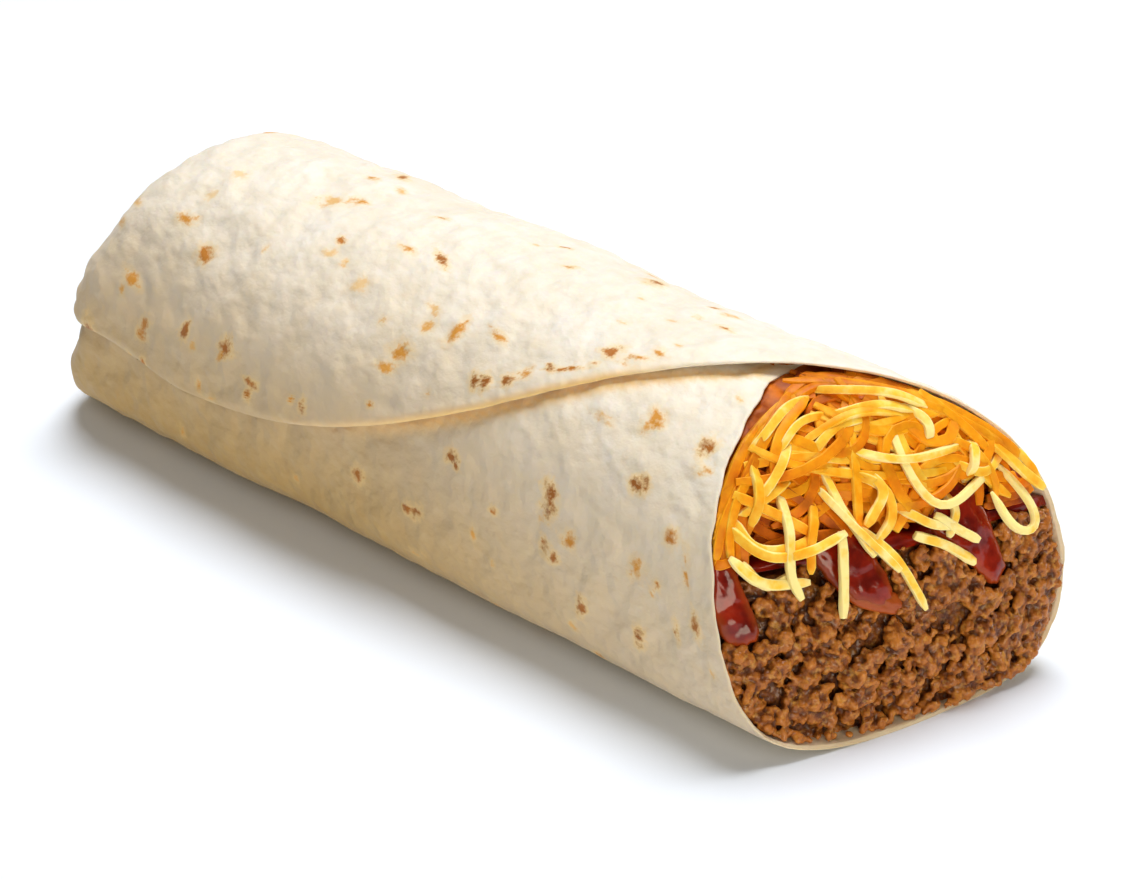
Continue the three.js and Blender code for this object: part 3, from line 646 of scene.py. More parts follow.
# Painted shade: the sheet is darker and yellower low down, less so towards the mouth, and in a line beside
# the lip, where the lip's shadow falls.
lowness = 0.94 * (1 - ease(shaped[..., 2], 6, 58)) ** 0.78 * (1 - 0.4 * ease(grid_x, 70, 150))
low_shade = np.maximum(lowness, 0.5 * lip_shadow_line)
# Painted golden glow and shade on the flap's lip, and beside it on the layer below.
lip_glow_and_shade = np.exp(-((edge_gone / 0.9) ** 2)) * down_flap * ease(grid_x, 45, 90)
lip_glow_and_shade = np.maximum(lip_glow_and_shade, lip_shadow_line * ease(grid_x, 55, 90))
print("moist from", round(low_shade.min(), 2), "to", round(low_shade.max(), 2))

# %% Build the tortilla
tortilla, at_row, at_column = moved_grid("rolled_tortilla", shaped)
stored_values = (("toast", toast), ("toast_dark", toast_dark), ("low_shade", low_shade), ("lip", lip_glow_and_shade))
for name, values in stored_values:
    keep_values(tortilla, name, values[at_row, at_column])
keep_thickness(tortilla, sheet_depth[at_row, at_column])
edit(tortilla, lambda: bpy.ops.mesh.remove_doubles(threshold=2e-6))
normal_sum = sum(f.normal.y * f.center.y * f.area for f in tortilla.data.polygons)
if normal_sum < 0:
    edit(tortilla, bpy.ops.mesh.flip_normals)
thicken(tortilla)
print("tortilla:", len(tortilla.data.polygons), "faces")

# %% [markdown]
# ## The folded-up tongue
# Before the last turn of the roll, the bottom of the tucked end is folded up over the middle. It is
# a smaller grid laid on the end's own surface, given its thickness in the same way, and joined to
# the sheet.

# %% Tongue over the tucked end
TONGUE_HALF = 15.0
TONGUE_LOW = 5.0
TONGUE_HIGH = 30.0


def tuck_face(y, z):
    """Points on the tucked end, straight behind places in the section."""
    up = z - WIDEST_HEIGHT
    _, height = half_at(up)
    angle = np.degrees(np.arctan2(-y / HALF_WIDTH, up / height))
    turn = np.arcsin(np.minimum(share_at(y, z - FLAT_SINK), 1) ** (SHOULDER_SQUARENESS / 2))
    return tuck_point(angle, np.degrees(turn))


# %% Shape the tongue
tongue_u = np.sin(np.linspace(-math.pi / 2, math.pi / 2, 48))[None, :]
tongue_v = np.linspace(0, 1, 40)[:, None] ** 0.9
tongue_side = tongue_u * (0.93 + 0.07 * np.sin(5 * tongue_v + 1))
tongue_top = TONGUE_HIGH - 7 * tongue_side**2 + 1.2 * np.sin(4 * tongue_side)
tongue_points = tuck_face(TONGUE_HALF * tongue_side, mix(TONGUE_LOW, tongue_top, tongue_v))
tongue_normals = grid_normals(tongue_points)
if tongue_normals[20, 24, 0] > 0:
    tongue_normals = -tongue_normals
tongue_gone = np.minimum((1 - np.abs(tongue_u)) * TONGUE_HALF, (1 - tongue_v) * (TONGUE_HIGH - TONGUE_LOW))
tongue_round = np.maximum(np.sqrt(1 - (1 - np.minimum(tongue_gone / HALF_SHEET, 1)) ** 2), 0.1)
tongue_out = mix(-0.5, 1.3, ease(tongue_v, 0, 0.45)) - HALF_SHEET * (1 - tongue_round)
tongue_out = tongue_out + 0.22 * noise_at(tongue_points, 6, 8) + 0.1 * noise_at(tongue_points, 2.5, 9)
tongue_points = tongue_points + tongue_normals * tongue_out[..., None]
tongue, t_row, t_column = moved_grid("tongue", tongue_points)
for name, value in (("toast", -1.0), ("toast_dark", 0.0), ("lip", 0.0)):
    keep_values(tongue, name, np.full(len(t_row), value))
# Painted shade on the tongue too: darker and yellower low down.
keep_values(tongue, "low_shade", 1 - ease(tongue_points[t_row, t_column, 2], 6, 46))
keep_thickness(tongue, tongue_round[t_row, t_column])
if sum(f.normal.x * f.area for f in tongue.data.polygons) > 0:
    edit(tongue, bpy.ops.mesh.flip_normals)
thicken(tongue)
tortilla = joined(tortilla, tongue)
print("tortilla with its tongue:", len(tortilla.data.polygons), "faces")

# %% [markdown]
# ## The mouth
# The filling ends in one face that follows the rim and bulges a little in the middle. Each filling
# is a plug: a fine cap at the mouth, sides that run back inside the roll, and a plain end. The cap
# is laid out in rings and spokes round the middle of that filling's own share of the section.

# %% The face of the filling
BEEF_TOP = 26.5
SAUCE_LAYER = 2.0
PIECE_GAP = 0.35
MOUTH_BULGE = 2.8
NEAR_SETBACK = 1.4
FAR_SETBACK = 0.1
FACE_STEP = 0.5


def angle_at_height(z):
    """The angle on the near side at which the section is this high."""
    up = z + FLAT_SINK - WIDEST_HEIGHT
    square, height = half_at(up)
    share = np.clip(up / height, -1, 1)
    return np.degrees(np.arctan2((1 - np.abs(share) ** square) ** (1 / square), share))


def mouth_face(y, z):
    """How far along the roll the face of the filling lies, at a place in the section."""
    angle = angle_at_height(z)
    rim = edge_x(way_at(angle), y, angle, 0) + MOUTH_DROP * np.cos(np.radians(angle))
    twist = -MOUTH_TWIST * np.sin(np.radians(2 * angle)) * y / HALF_WIDTH
    inside = np.minimum(share_at(y, z), 1)
    setback = mix(NEAR_SETBACK, FAR_SETBACK, ease(y, -HALF_WIDTH, HALF_WIDTH / 2))
    return rim + twist - setback + MOUTH_BULGE * (1 - inside**2)


def on_face(y, z, rise=0.0):
    """Points on the mouth's face, raised along its own direction, and that direction."""
    dy = (mouth_face(y + FACE_STEP, z) - mouth_face(y - FACE_STEP, z)) / (2 * FACE_STEP)
    dz = (mouth_face(y, z + FACE_STEP) - mouth_face(y, z - FACE_STEP)) / (2 * FACE_STEP)
    normal = np.stack([np.ones_like(dy), -dy, -dz], -1)
    normal /= np.linalg.norm(normal, axis=-1, keepdims=True)
    point = np.stack(np.broadcast_arrays(mouth_face(y, z), y, z), -1)
    return point + normal * np.asarray(rise)[..., None], normal


def beef_level(y):
    """The height of the beef's upper side, in gentle waves."""
    return BEEF_TOP + 0.8 * np.sin(0.1 * y + 14.4) + 0.7 * np.sin(0.15 * y - 8.0)


# %% The inner wall at the mouth
INWARD_STEP = 0.4
wall_angles = np.arange(-180, 180, 1.5)
wall_x = np.where(wall_angles >= 0, near_rim(wall_angles), far_rim(wall_angles))
wall = roll_point(wall_angles, wall_x)[:, 1:]
wall_along = np.roll(wall, -1, 0) - np.roll(wall, 1, 0)
wall_out = np.stack([wall_along[:, 1], -wall_along[:, 0]], -1)
wall_out /= np.linalg.norm(wall_out, axis=1, keepdims=True)
if (wall_out * (wall - (0, WIDEST_HEIGHT))).sum() < 0:
    wall_out = -wall_out
below_flap = LAYER_STEP * ease(wall_angles, LIFT_FROM, LIFT_TO) * under_flap(wall_angles)
wall_inset = SHEET * EDGE_THIN_MOUTH + 0.15 - below_flap
mouth_wall = wall - wall_out * wall_inset[:, None]
a_bit_in = mouth_wall - wall_out * INWARD_STEP
leaning = (mouth_face(*mouth_wall.T) - mouth_face(*a_bit_in.T)) / INWARD_STEP
wall_steep = np.hypot(1, leaning)
print("the wall stands back by", round(wall_inset.min(), 2), "to", round(wall_inset.max(), 2), "mm")


def room(y, z):
    """Distance along the face to the inner wall, for one place inside it. Negative outside."""
    rel = mouth_wall - (y, z)
    nearest = int(np.argmin((rel**2).sum(1)))
    return float((rel[nearest] * wall_out[nearest]).sum() * wall_steep[nearest])


# %% Keep things inside the wall
CLOSE_TO_WALL = 0.88
AT_ONCE = 4000


def get_places(made):
    """An object's vertices in millimetres on the roll."""
    flat = np.empty(len(made.data.vertices) * 3)
    made.data.vertices.foreach_get("co", flat)
    return flat.reshape(-1, 3) * 1000 + (MIDDLE_X, MIDDLE_Y, 0.0)


def set_places(made, points):
    """Moves an object's vertices to places in millimetres on the roll."""
    made.data.vertices.foreach_set("co", place(points).ravel())
    made.data.update()


def push_inside(made, margin, in_front, only_low=False):
    """Moves vertices that poke into the wall back in. Those in front of the rim may pass it a little."""
    points = get_places(made)
    close = np.nonzero(share_at(points[:, 1], points[:, 2]) > CLOSE_TO_WALL)[0]
    for part in np.array_split(close, 1 + len(close) // AT_ONCE):
        rel = mouth_wall[None] - points[part, None, 1:]
        nearest = np.argmin((rel**2).sum(-1), axis=1)
        inside = (rel[np.arange(len(part)), nearest] * wall_out[nearest]).sum(-1)
        beyond = in_front * (1 - ease(points[part, 2], 4, 10)) if only_low else in_front
        allowed = mix(margin, -beyond, ease(points[part, 0] - wall_x[nearest], -0.2, 0.4))
        points[part, 1:] -= wall_out[nearest] * np.maximum(allowed - inside, 0)[:, None]
    set_places(made, points)


# %% [markdown]
# ## Closed pieces made of rings
# A filling is long and simple inside and fine at its face, so rings of points suit it: many small
# ones on the face, a few wide ones down the sides. Faces between neighbouring rings close it.

# %% Helpers for closed pieces
def new_mesh(name, vertices, faces):
    """A mesh object from millimetre vertices, with its faces turned outwards."""
    mesh = bpy.data.meshes.new(name)
    mesh.from_pydata(place(vertices).tolist(), [], faces)
    made = bpy.data.objects.new(name, mesh)
    bpy.context.collection.objects.link(made)
    edit(made, lambda: bpy.ops.mesh.normals_make_consistent(inside=False))
    return made


def mesh_of_rings(name, centre, rows, end):
    """A closed mesh from a middle point, rings of points one after another, and an end point."""
    around = len(rows[0])
    vertices = np.concatenate([[centre], *rows, [end]])
    faces = []
    for j in range(len(rows) - 1):
        for i in range(around):
            a, b = 1 + j * around + i, 1 + j * around + (i + 1) % around
            faces.append((a, b, b + around, a + around))
    last = 1 + (len(rows) - 1) * around
    for i in range(around):
        faces.append((0, 1 + (i + 1) % around, 1 + i))
        faces.append((len(vertices) - 1, last + i, last + (i + 1) % around))
    return new_mesh(name, vertices, faces)


# %% A plug of filling
FILLING_END_X = 14.0
BACK_STEPS = [3, 6, 30, 140]
NARROWING = 0.13


def plug_outline(middle, spokes, lowest, highest):
    """The outline of one filling in the section, as a distance for each spoke from its middle."""
    rel = mouth_wall - middle
    order = np.argsort(np.arctan2(rel[:, 1], rel[:, 0]))
    bearing = np.arctan2(rel[:, 1], rel[:, 0])[order]
    reach = np.interp(spokes, bearing, np.hypot(*rel.T)[order], period=2 * math.pi)
    for _ in range(4):
        y = middle[0] + reach * np.cos(spokes)
        for level, up in ((lowest, False), (highest, True)):
            to_level = level(y) - middle[1]
            rising = np.sin(spokes) if up else -np.sin(spokes)
            allowed = (to_level if up else -to_level) / np.maximum(rising, 1e-6)
            reach = np.where(rising > 1e-3, np.minimum(reach, allowed), reach)
    return reach


def plug(name, middle, lowest, highest, set_back, rings, spoke_count, depths=BACK_STEPS):
    """A closed filling: a cap of rings and spokes, sides that run back, and a plain end."""
    spokes = np.linspace(-math.pi, math.pi, spoke_count + 1)[:-1]
    reach = plug_outline(np.array(middle), spokes, lowest, highest)
    shares = np.sqrt(np.linspace(0, 1, rings + 1)[1:])
    y = middle[0] + shares[:, None] * reach * np.cos(spokes)
    z = middle[1] + shares[:, None] * reach * np.sin(spokes)
    _, facing = on_face(y, z, 0 * y)
    x = mouth_face(y, z) - set_back(y, z) / np.maximum(facing[..., 0], 0.3)
    cap = np.stack([x, y, z], -1)
    rows = list(cap)
    for depth in depths:
        narrow = 1 - NARROWING * float(ease(depth, 0, 9))
        back_x = np.maximum(cap[-1, :, 0] - depth, FILLING_END_X)
        back_z = middle[1] + (cap[-1, :, 2] - middle[1]) * narrow
        rows.append(np.stack([back_x, cap[-1, :, 1] * narrow, back_z], -1))
    y0, z0 = np.array(middle[0]), np.array(middle[1])
    centre = [mouth_face(y0, z0) - set_back(y0, z0), y0, z0]
    end = [rows[-1][:, 0].mean(), *middle]
    return mesh_of_rings(name, centre, rows, end)


# %% [markdown]
# ## Runs of sauce
# The sauce lies between beef and cheese and has run down over the beef in a few thick, shiny
# tongues. They are placed first, because the beef and the cheese leave room for them.

# %% Where the sauce runs
# Outlines across and up the face. Their tops are hidden under the cheese.
SAUCE_RUNS = [
    [(-27.4, 34), (-23.6, 34), (-22.8, 29), (-22.3, 24.5), (-21.9, 20.4), (-22.9, 18.6),
     (-26.2, 18.6), (-27.8, 21), (-27.8, 26)],
    [(-11.5, 32), (-3.5, 32), (-2.5, 27), (-1.6, 23.5), (-1.8, 20.6), (-3.2, 19.2), (-6, 20.6),
     (-8.4, 22.3), (-10.8, 25.5), (-11.9, 29)],
    [(7.6, 34), (15.4, 34.5), (16.6, 30), (17.4, 24), (18.1, 20), (17, 18), (14.6, 18.2), (12.6, 21),
     (10.4, 24.5), (7.6, 27), (6.6, 30)],
    [(21.5, 38.5), (24.6, 36.5), (26, 32.5), (25.4, 29.5), (23.4, 30.6), (22, 35)],
]
# A thin film beside the middle run.
FILM = [
    (-9.6, 23.4), (-7.6, 20.8), (-4.4, 18.9), (-1.2, 17.9), (0.2, 18.8), (-0.6, 21), (-4, 23), (-8, 24.6),
]
RUN_DEPTH = 3.2


def rounded_outline(corners):
    """Cuts the corners of an outline three times over."""
    points = np.array(corners, float)
    for _ in range(3):
        following = np.roll(points, -1, 0)
        cut_corners = [0.75 * points + 0.25 * following, 0.25 * points + 0.75 * following]
        points = np.stack(cut_corners, 1).reshape(-1, 2)
    return points


def uneven(outline, seed):
    """An outline with an edge that wavers by a fraction of a millimetre."""
    out = outline - outline.mean(0)
    flat = np.concatenate([outline, np.zeros((len(outline), 1))], 1)
    return outline + out * (0.09 * noise_at(flat, 2.2, seed) + 0.04 * noise_at(flat, 0.9, seed))[:, None]


run_outlines = [uneven(rounded_outline(corners), k) for k, corners in enumerate(SAUCE_RUNS)]
film_outline = uneven(rounded_outline(FILM), 9)
print("runs of sauce:", len(run_outlines), "and a film")


# %% Near a run or not
def inside_by(y, z, outline):
    """Distance to an outline in the section: positive inside it and negative outside."""
    where = np.stack(np.broadcast_arrays(y, z), -1)[..., None, :]
    following = np.roll(outline, -1, 0)
    side = following - outline
    share = np.clip(((where - outline) * side).sum(-1) / (side**2).sum(-1), 0, 1)
    away = np.linalg.norm(where - outline - share[..., None] * side, axis=-1).min(-1)
    low, high = outline[:, 1], following[:, 1]
    crossed = (low > where[..., 1]) != (high > where[..., 1])
    slope = np.where(np.abs(side[:, 1]) > 1e-9, side[:, 0] / np.where(side[:, 1] == 0, 1, side[:, 1]), 0)
    left = where[..., 0] < slope * (where[..., 1] - low) + outline[:, 0]
    within = (crossed & left).sum(-1) % 2 == 1
    return np.where(within, away, -away)


def near_run(y, z, spare):
    """Whether a place on the face is on a run of sauce, or within a distance of one."""
    return np.max([inside_by(y, z, outline) for outline in run_outlines], axis=0) > -spare


# %% [markdown]
# ## Ground beef
# Cooked mince is a heap of crumbs, from a millimetre to four across, each of them a knot of smaller
# grains. One rough ball is made from an icosphere and many are strewn in knots over the face. The
# beef leaves room for the runs of sauce, and a core behind the crumbs fills the gaps between them.

# %% The beef behind the crumbs
BEEF_MIDDLE = (0.5, 13.0)


def open_level(_):
    """A lower side that cuts nothing off."""
    return -FAR_AWAY


def beef_back(y, z):
    """How far the beef's front lies behind the face: further where sauce runs over it."""
    by_wall = ease(share_at(y, z), 0.86, 0.96)
    return np.where(near_run(y, z, 0.9), RUN_DEPTH, 1.8 - 0.7 * by_wall)


beef_front = plug("beef_crumbs", BEEF_MIDDLE, open_level, beef_level, beef_back, 26, 150, [2, 4])
print("front of the beef:", len(beef_front.data.polygons), "faces")

# %% One grain
bpy.ops.mesh.primitive_ico_sphere_add(subdivisions=2, radius=1.0)
ball = bpy.context.object
ball_points = np.array([v.co[:] for v in ball.data.vertices])
ball_faces = np.array([p.vertices[:] for p in ball.data.polygons])
bpy.data.objects.remove(ball)
print("a grain:", len(ball_points), "vertices")


def lump(centre, radius, random):
    """One rough grain: a ball squashed a little each way and pushed about by noise."""
    squash = random.uniform(0.75, 1.25, 3)
    rough = 1 + 0.28 * noise_at(ball_points + random.uniform(0, 50, 3), 0.9)
    turn, _ = np.linalg.qr(random.normal(size=(3, 3)))
    return (ball_points * rough[:, None] * squash * radius) @ turn + centre


# %% A crumb is a knot of grains
ABOVE_BEEF = 1.2
crumb_random = np.random.default_rng(7)
grains = []


def in_beef(y, z, spare):
    """Whether a place on the face lies in the beef or just above it, with some room to spare."""
    return z < beef_level(y) + ABOVE_BEEF - spare and room(y, z) > spare


def add_crumb(y, z, big, sink):
    """A knot of grains on the face: one in the middle and smaller ones all round it."""
    clump = 1.25 * float(noise_at(np.array([y, z, 0.0]), 6.0, 21)) * float(ease(room(y, z), 0, 5))
    knot, _ = on_face(np.array(y), np.array(z), np.array(clump - sink - 0.5 * big))
    grains.append(lump(knot, big * 0.6, crumb_random))
    for _ in range(int(4 + big * 5)):
        heading = crumb_random.normal(size=3)
        heading[0] = abs(heading[0]) * 0.8
        heading /= np.linalg.norm(heading)
        grains.append(lump(knot + heading * big * 0.64, crumb_random.uniform(0.2, 0.4) * big, crumb_random))


# %% Strew the crumbs
CRUMBS = 580
RIM_CRUMBS = 170
SMALL_CRUMB = 1.3
placed = 0
while placed < CRUMBS:
    y0 = crumb_random.uniform(-29, 29)
    z0 = crumb_random.uniform(1.0, 28.5)
    big = 0.65 + 1.8 * crumb_random.random() ** 1.5
    if not in_beef(y0, z0, big * 0.5) or near_run(np.array(y0), np.array(z0), big * 0.5):
        continue
    placed += 1
    # Small crumbs may lie deeper, and those by the far wall lie a little deeper still.
    sink = crumb_random.uniform(-0.5, 1.9) if big < SMALL_CRUMB else crumb_random.uniform(-0.6, 0.9)
    add_crumb(y0, z0, big, sink + 0.35 * (1 - ease(room(y0, z0), 0.5, 4)) * ease(y0, 2, 16))

# A last row of crumbs lies against the wall, so none of its inside shows.
low_wall = np.nonzero(mouth_wall[:, 1] < beef_level(mouth_wall[:, 0]) + 1)[0]
for _ in range(RIM_CRUMBS):
    i = int(crumb_random.choice(low_wall))
    big = crumb_random.uniform(0.6, 1.1)
    y0, z0 = mouth_wall[i] - wall_out[i] * (0.45 * big + crumb_random.uniform(0, 0.9))
    if not near_run(np.array(y0), np.array(z0), big * 0.5):
        near_side = 1 - float(ease(y0, -24, -8))
        bottom = 1 - float(ease(z0, 2, 8))
        far_side = float(ease(y0, 8, 20)) * (1 - bottom)
        sink = crumb_random.uniform(-0.45, 0.3) + 0.2 * near_side + 0.95 * far_side - 0.7 * bottom
        add_crumb(y0, z0, big, sink)
grain_vertices = np.concatenate(grains)
grain_faces = np.concatenate([ball_faces + k * len(ball_points) for k in range(len(grains))])
crumbs = new_mesh("crumbs", grain_vertices, grain_faces.tolist())
print("grains of beef:", len(grains))

# %% [markdown]
# ## Melt the crumbs together
# In the pan, fat and juice join the crumbs into one mass with deep gaps. A voxel remesh does the
# same to the balls. Noise then roughens the grains, and Decimate takes away triangles that a plain
# spot doesn't need. Two attributes tell the material how far each place stands out from its
# neighbours and how far it lies from the face. With them it paints light on the tops and paints
# shade in the hollows and deep behind the face.

# %% Melt them
VOXEL = 0.00026
ground_beef = joined(beef_front, crumbs)
remesh = ground_beef.modifiers.new("melt", "REMESH")
remesh.mode = "VOXEL"
remesh.voxel_size = VOXEL
apply_all(ground_beef)
print("melted beef:", len(ground_beef.data.polygons), "faces")


# %% Roughness, and what stands out
def roughen(made, layers):
    """Moves every vertex along its own direction by noise of several sizes, in millimetres."""
    count = len(made.data.vertices)
    where = np.empty(count * 3)
    way = np.empty(count * 3)
    made.data.vertices.foreach_get("co", where)
    made.data.vertices.foreach_get("normal", way)
    where = where.reshape(-1, 3) * 1000
    height = sum(size * noise_at(where, wide, seed) for size, wide, seed in layers)
    where += way.reshape(-1, 3) * height[:, None]
    made.data.vertices.foreach_set("co", (where * 0.001).ravel())
    made.data.update()


def even_back(depth):
    """A front that lies as far behind the face everywhere."""
    return lambda y, z: depth + 0 * y


def standing_out(made, rounds, most):
    """How far each vertex stands out from its neighbours, from -1 in a hollow to 1 on a top."""
    pairs = np.empty(len(made.data.edges) * 2, int)
    made.data.edges.foreach_get("vertices", pairs)
    a, b = pairs.reshape(-1, 2).T
    points = get_places(made)
    way = np.empty(len(points) * 3)
    made.data.vertices.foreach_get("normal", way)
    neighbours = np.bincount(np.concatenate([a, b]), minlength=len(points))[:, None]
    smooth = points.copy()
    for _ in range(rounds):
        total = np.zeros_like(smooth)
        for k in range(3):
            total[:, k] += np.bincount(a, smooth[b, k], len(points))
            total[:, k] += np.bincount(b, smooth[a, k], len(points))
        smooth = total / neighbours
    return np.clip(((points - smooth) * way.reshape(-1, 3)).sum(1) / most, -1, 1)


# %% Finish the beef
MOST_TRIANGLES = 184000
roughen(ground_beef, [(0.16, 1.0, 1), (0.16, 0.55, 2), (0.08, 0.3, 3)])
edit(ground_beef, bpy.ops.mesh.quads_convert_to_tris)
fewer = ground_beef.modifiers.new("fewer", "DECIMATE")
fewer.ratio = min(1.0, MOST_TRIANGLES / len(ground_beef.data.polygons))
apply_all(ground_beef)
push_inside(ground_beef, 0.12, 0.35, only_low=True)
# These two values drive painted shade in hollows and deep in, and painted light on tops.
keep_values(ground_beef, "top", standing_out(ground_beef, 14, 0.3))
beef_places = get_places(ground_beef)
keep_values(ground_beef, "rise", beef_places[:, 0] - mouth_face(*beef_places[:, 1:].T))
beef_core = plug("beef_core", BEEF_MIDDLE, open_level, beef_level, even_back(3.4), 4, 60)
# The core gets the darkest painted shade.
keep_values(beef_core, "top", np.full(len(beef_core.data.vertices), -1))
keep_values(beef_core, "rise", np.full(len(beef_core.data.vertices), -3))
ground_beef = joined(ground_beef, beef_core)
edit(ground_beef, bpy.ops.mesh.quads_convert_to_tris)
bpy.ops.object.shade_smooth()
print("ground beef:", len(ground_beef.data.polygons), "triangles")

# %% [markdown]
# ## Sauce
# A thin layer lies on the beef all the way back. Each run is laid out in rings inside its own
# outline. It rises steeply at its edge and is fullest near its lower end, as a thick drop is. The
# film is a run that hardly stands out, and an attribute makes it and the runs' edges lighter, where
# the sauce is thin.

# %% The layer of sauce
SAUCE_MIDDLE = (0.5, 27.9)


def sauce_low(y):
    """The height of the sauce's lower side, just above the beef."""
    return beef_level(y) + PIECE_GAP


def sauce_high(y):
    """The height of the sauce's upper side."""
    return beef_level(y) + PIECE_GAP + SAUCE_LAYER


red_sauce = plug("sauce_runs", SAUCE_MIDDLE, sauce_low, sauce_high, even_back(0.8), 8, 120)
keep_values(red_sauce, "film", np.zeros(len(red_sauce.data.vertices)))
print("layer of sauce:", len(red_sauce.data.polygons), "faces")

# %% Runs of sauce over the beef
RUN_RINGS = 16
RUN_FRONT = 0.6 - RUN_DEPTH
# How far each run stands out, with the film last.
PROUD = [0.45, 0.7, 0.7, 0.7, 0.35]
run_meshes = []
for k, outline in enumerate([*run_outlines, film_outline]):
    is_film = k == len(run_outlines)
    middle = outline.mean(0)
    ring_shares = 1 - (1 - np.linspace(0, 1, RUN_RINGS + 1)[1:]) ** 1.5
    rings = middle + ring_shares[:, None, None] * (outline - middle)
    y, z = rings[..., 0], rings[..., 1]
    from_edge = np.maximum(inside_by(y, z, outline), 0)
    near_end = 1 - ease(z, outline[:, 1].min(), outline[:, 1].min() + 7)
    in_section = np.stack([y, z, 0 * y], -1)
    proud = PROUD[k] if is_film else PROUD[k] + 0.4 * near_end
    full = proud * (1 + 0.5 * noise_at(in_section, 2.6, k + 3))
    full = full + 0.14 * noise_at(in_section, 1.1, k + 5)
    rise = full * np.sqrt(np.maximum(1 - ring_shares[:, None] ** 3, 0)) - 0.35 * ring_shares[:, None] ** 6
    front, _ = on_face(y, z, rise)
    behind, _ = on_face(y[-1], z[-1], np.full(len(outline), RUN_FRONT))
    centre, _ = on_face(np.array(middle[0]), np.array(middle[1]), rise[0].mean())
    end, _ = on_face(np.array(middle[0]), np.array(middle[1]), np.array(RUN_FRONT))
    run = mesh_of_rings(f"run_{k}", centre, [*front, behind], end)
    edge_film = np.maximum(1 - ease(from_edge, 0.2, 1.6), 2.0 * is_film)
    keep_values(run, "film", np.concatenate([[0], edge_film.ravel(), np.ones(len(outline)), [1]]))
    run_meshes.append(run)
red_sauce = joined(red_sauce, *run_meshes)
push_inside(red_sauce, 0.15, 0.0)
bpy.ops.object.shade_smooth()
print("red sauce:", len(red_sauce.data.polygons), "faces")

# %% [markdown]
# ## Shredded cheese
# A grater cuts flat strips just under 2 mm wide with slightly rounded edges. A straight strip is
# made from a cube, bevelled and cut into short lengths, and each shred is a copy of it bent along
# its own curve. There are two: a plain one for the shreds underneath and a finer one for those that
# show. Under them all lies an uneven core, so no gap shows daylight.

# %% The core of the heap
CHEESE_MIDDLE = (0.5, 36.0)


def cheese_low(y):
    """The height of the cheese's lower side, just above the sauce."""
    return beef_level(y) + 2 * PIECE_GAP + SAUCE_LAYER


def open_top(_):
    """An upper side that cuts nothing off."""
    return FAR_AWAY


def cheese_back(y, z):
    """How far the core lies behind the face: uneven, and further where sauce runs down."""
    wave = 0.5 + 0.5 * np.sin(1.1 * y + 0.4 * z) * np.sin(0.9 * z - 0.5 * y)
    by_near_top = ease(z, 38, 44) * (1 - ease(y, -2, 4))
    return np.where(near_run(y, z, 1.0), RUN_DEPTH + PIECE_GAP, 1.5 + 0.8 * wave - 0.8 * by_near_top)


cheese_core = plug("cheese_shreds", CHEESE_MIDDLE, cheese_low, open_top, cheese_back, 22, 120)
print("core of the cheese:", len(cheese_core.data.polygons), "faces")

# %% Straight shreds
SHRED_WIDTH = 1.9
SHRED_THICKNESS = 1.0
CURVE_POINTS = 23


def straight_shred(cuts, rounding, steps):
    """A strip of length 1 with rounded long edges, cut into short lengths: its points and its faces."""
    bpy.ops.mesh.primitive_cube_add(size=1)
    strip = bpy.context.object
    strip.scale = (1, SHRED_WIDTH, SHRED_THICKNESS)
    strip.location = (0.5, 0, 0)
    bpy.ops.object.transform_apply(location=True, rotation=False, scale=True)
    bpy.ops.object.mode_set(mode="EDIT")
    shape = bmesh.from_edit_mesh(strip.data)
    for edge in shape.edges:
        a, b = (v.co for v in edge.verts)
        edge.select_set(abs(a.x - b.x) > 0.5)
    bmesh.update_edit_mesh(strip.data)
    bpy.ops.mesh.bevel(offset=rounding, segments=steps, affect="EDGES")
    for cut in range(1, cuts):
        bpy.ops.mesh.select_all(action="SELECT")
        bpy.ops.mesh.bisect(plane_co=(cut / cuts, 0, 0), plane_no=(1, 0, 0))
    bpy.ops.object.mode_set(mode="OBJECT")
    points = np.array([v.co[:] for v in strip.data.vertices])
    faces = [tuple(p.vertices) for p in strip.data.polygons]
    bpy.data.objects.remove(strip)
    print("a shred:", len(points), "vertices,", len(faces), "faces")
    return points, faces


PLAIN_SHRED = straight_shred(8, 0.2, 1)
FINE_SHRED = straight_shred(CURVE_POINTS - 1, 0.3, 2)


# %% Bend a shred along a curve
def smooth_curve(places, count):
    """Evenly spaced points on a smooth curve through a few places."""
    p = np.array(places, float)
    p = np.vstack([2 * p[0] - p[1], p, 2 * p[-1] - p[-2]])
    t = np.linspace(0, 1, 24)[:, None]
    dense = []
    for a, b, c, d in zip(p, p[1:], p[2:], p[3:]):
        curve = 2 * b + (c - a) * t + (2 * a - 5 * b + 4 * c - d) * t**2 + (3 * b - a - 3 * c + d) * t**3
        dense.append(0.5 * curve)
    dense = np.vstack(dense)
    gone = np.concatenate([[0], np.cumsum(np.linalg.norm(np.diff(dense, axis=0), axis=1))])
    even = np.linspace(0, gone[-1], count)
    return np.stack([np.interp(even, gone, dense[:, k]) for k in range(p.shape[1])], -1)


# %% Add one shred to the heap
shred_random = np.random.default_rng(5)
shred_vertices = []
shred_faces = []
shred_tints = []


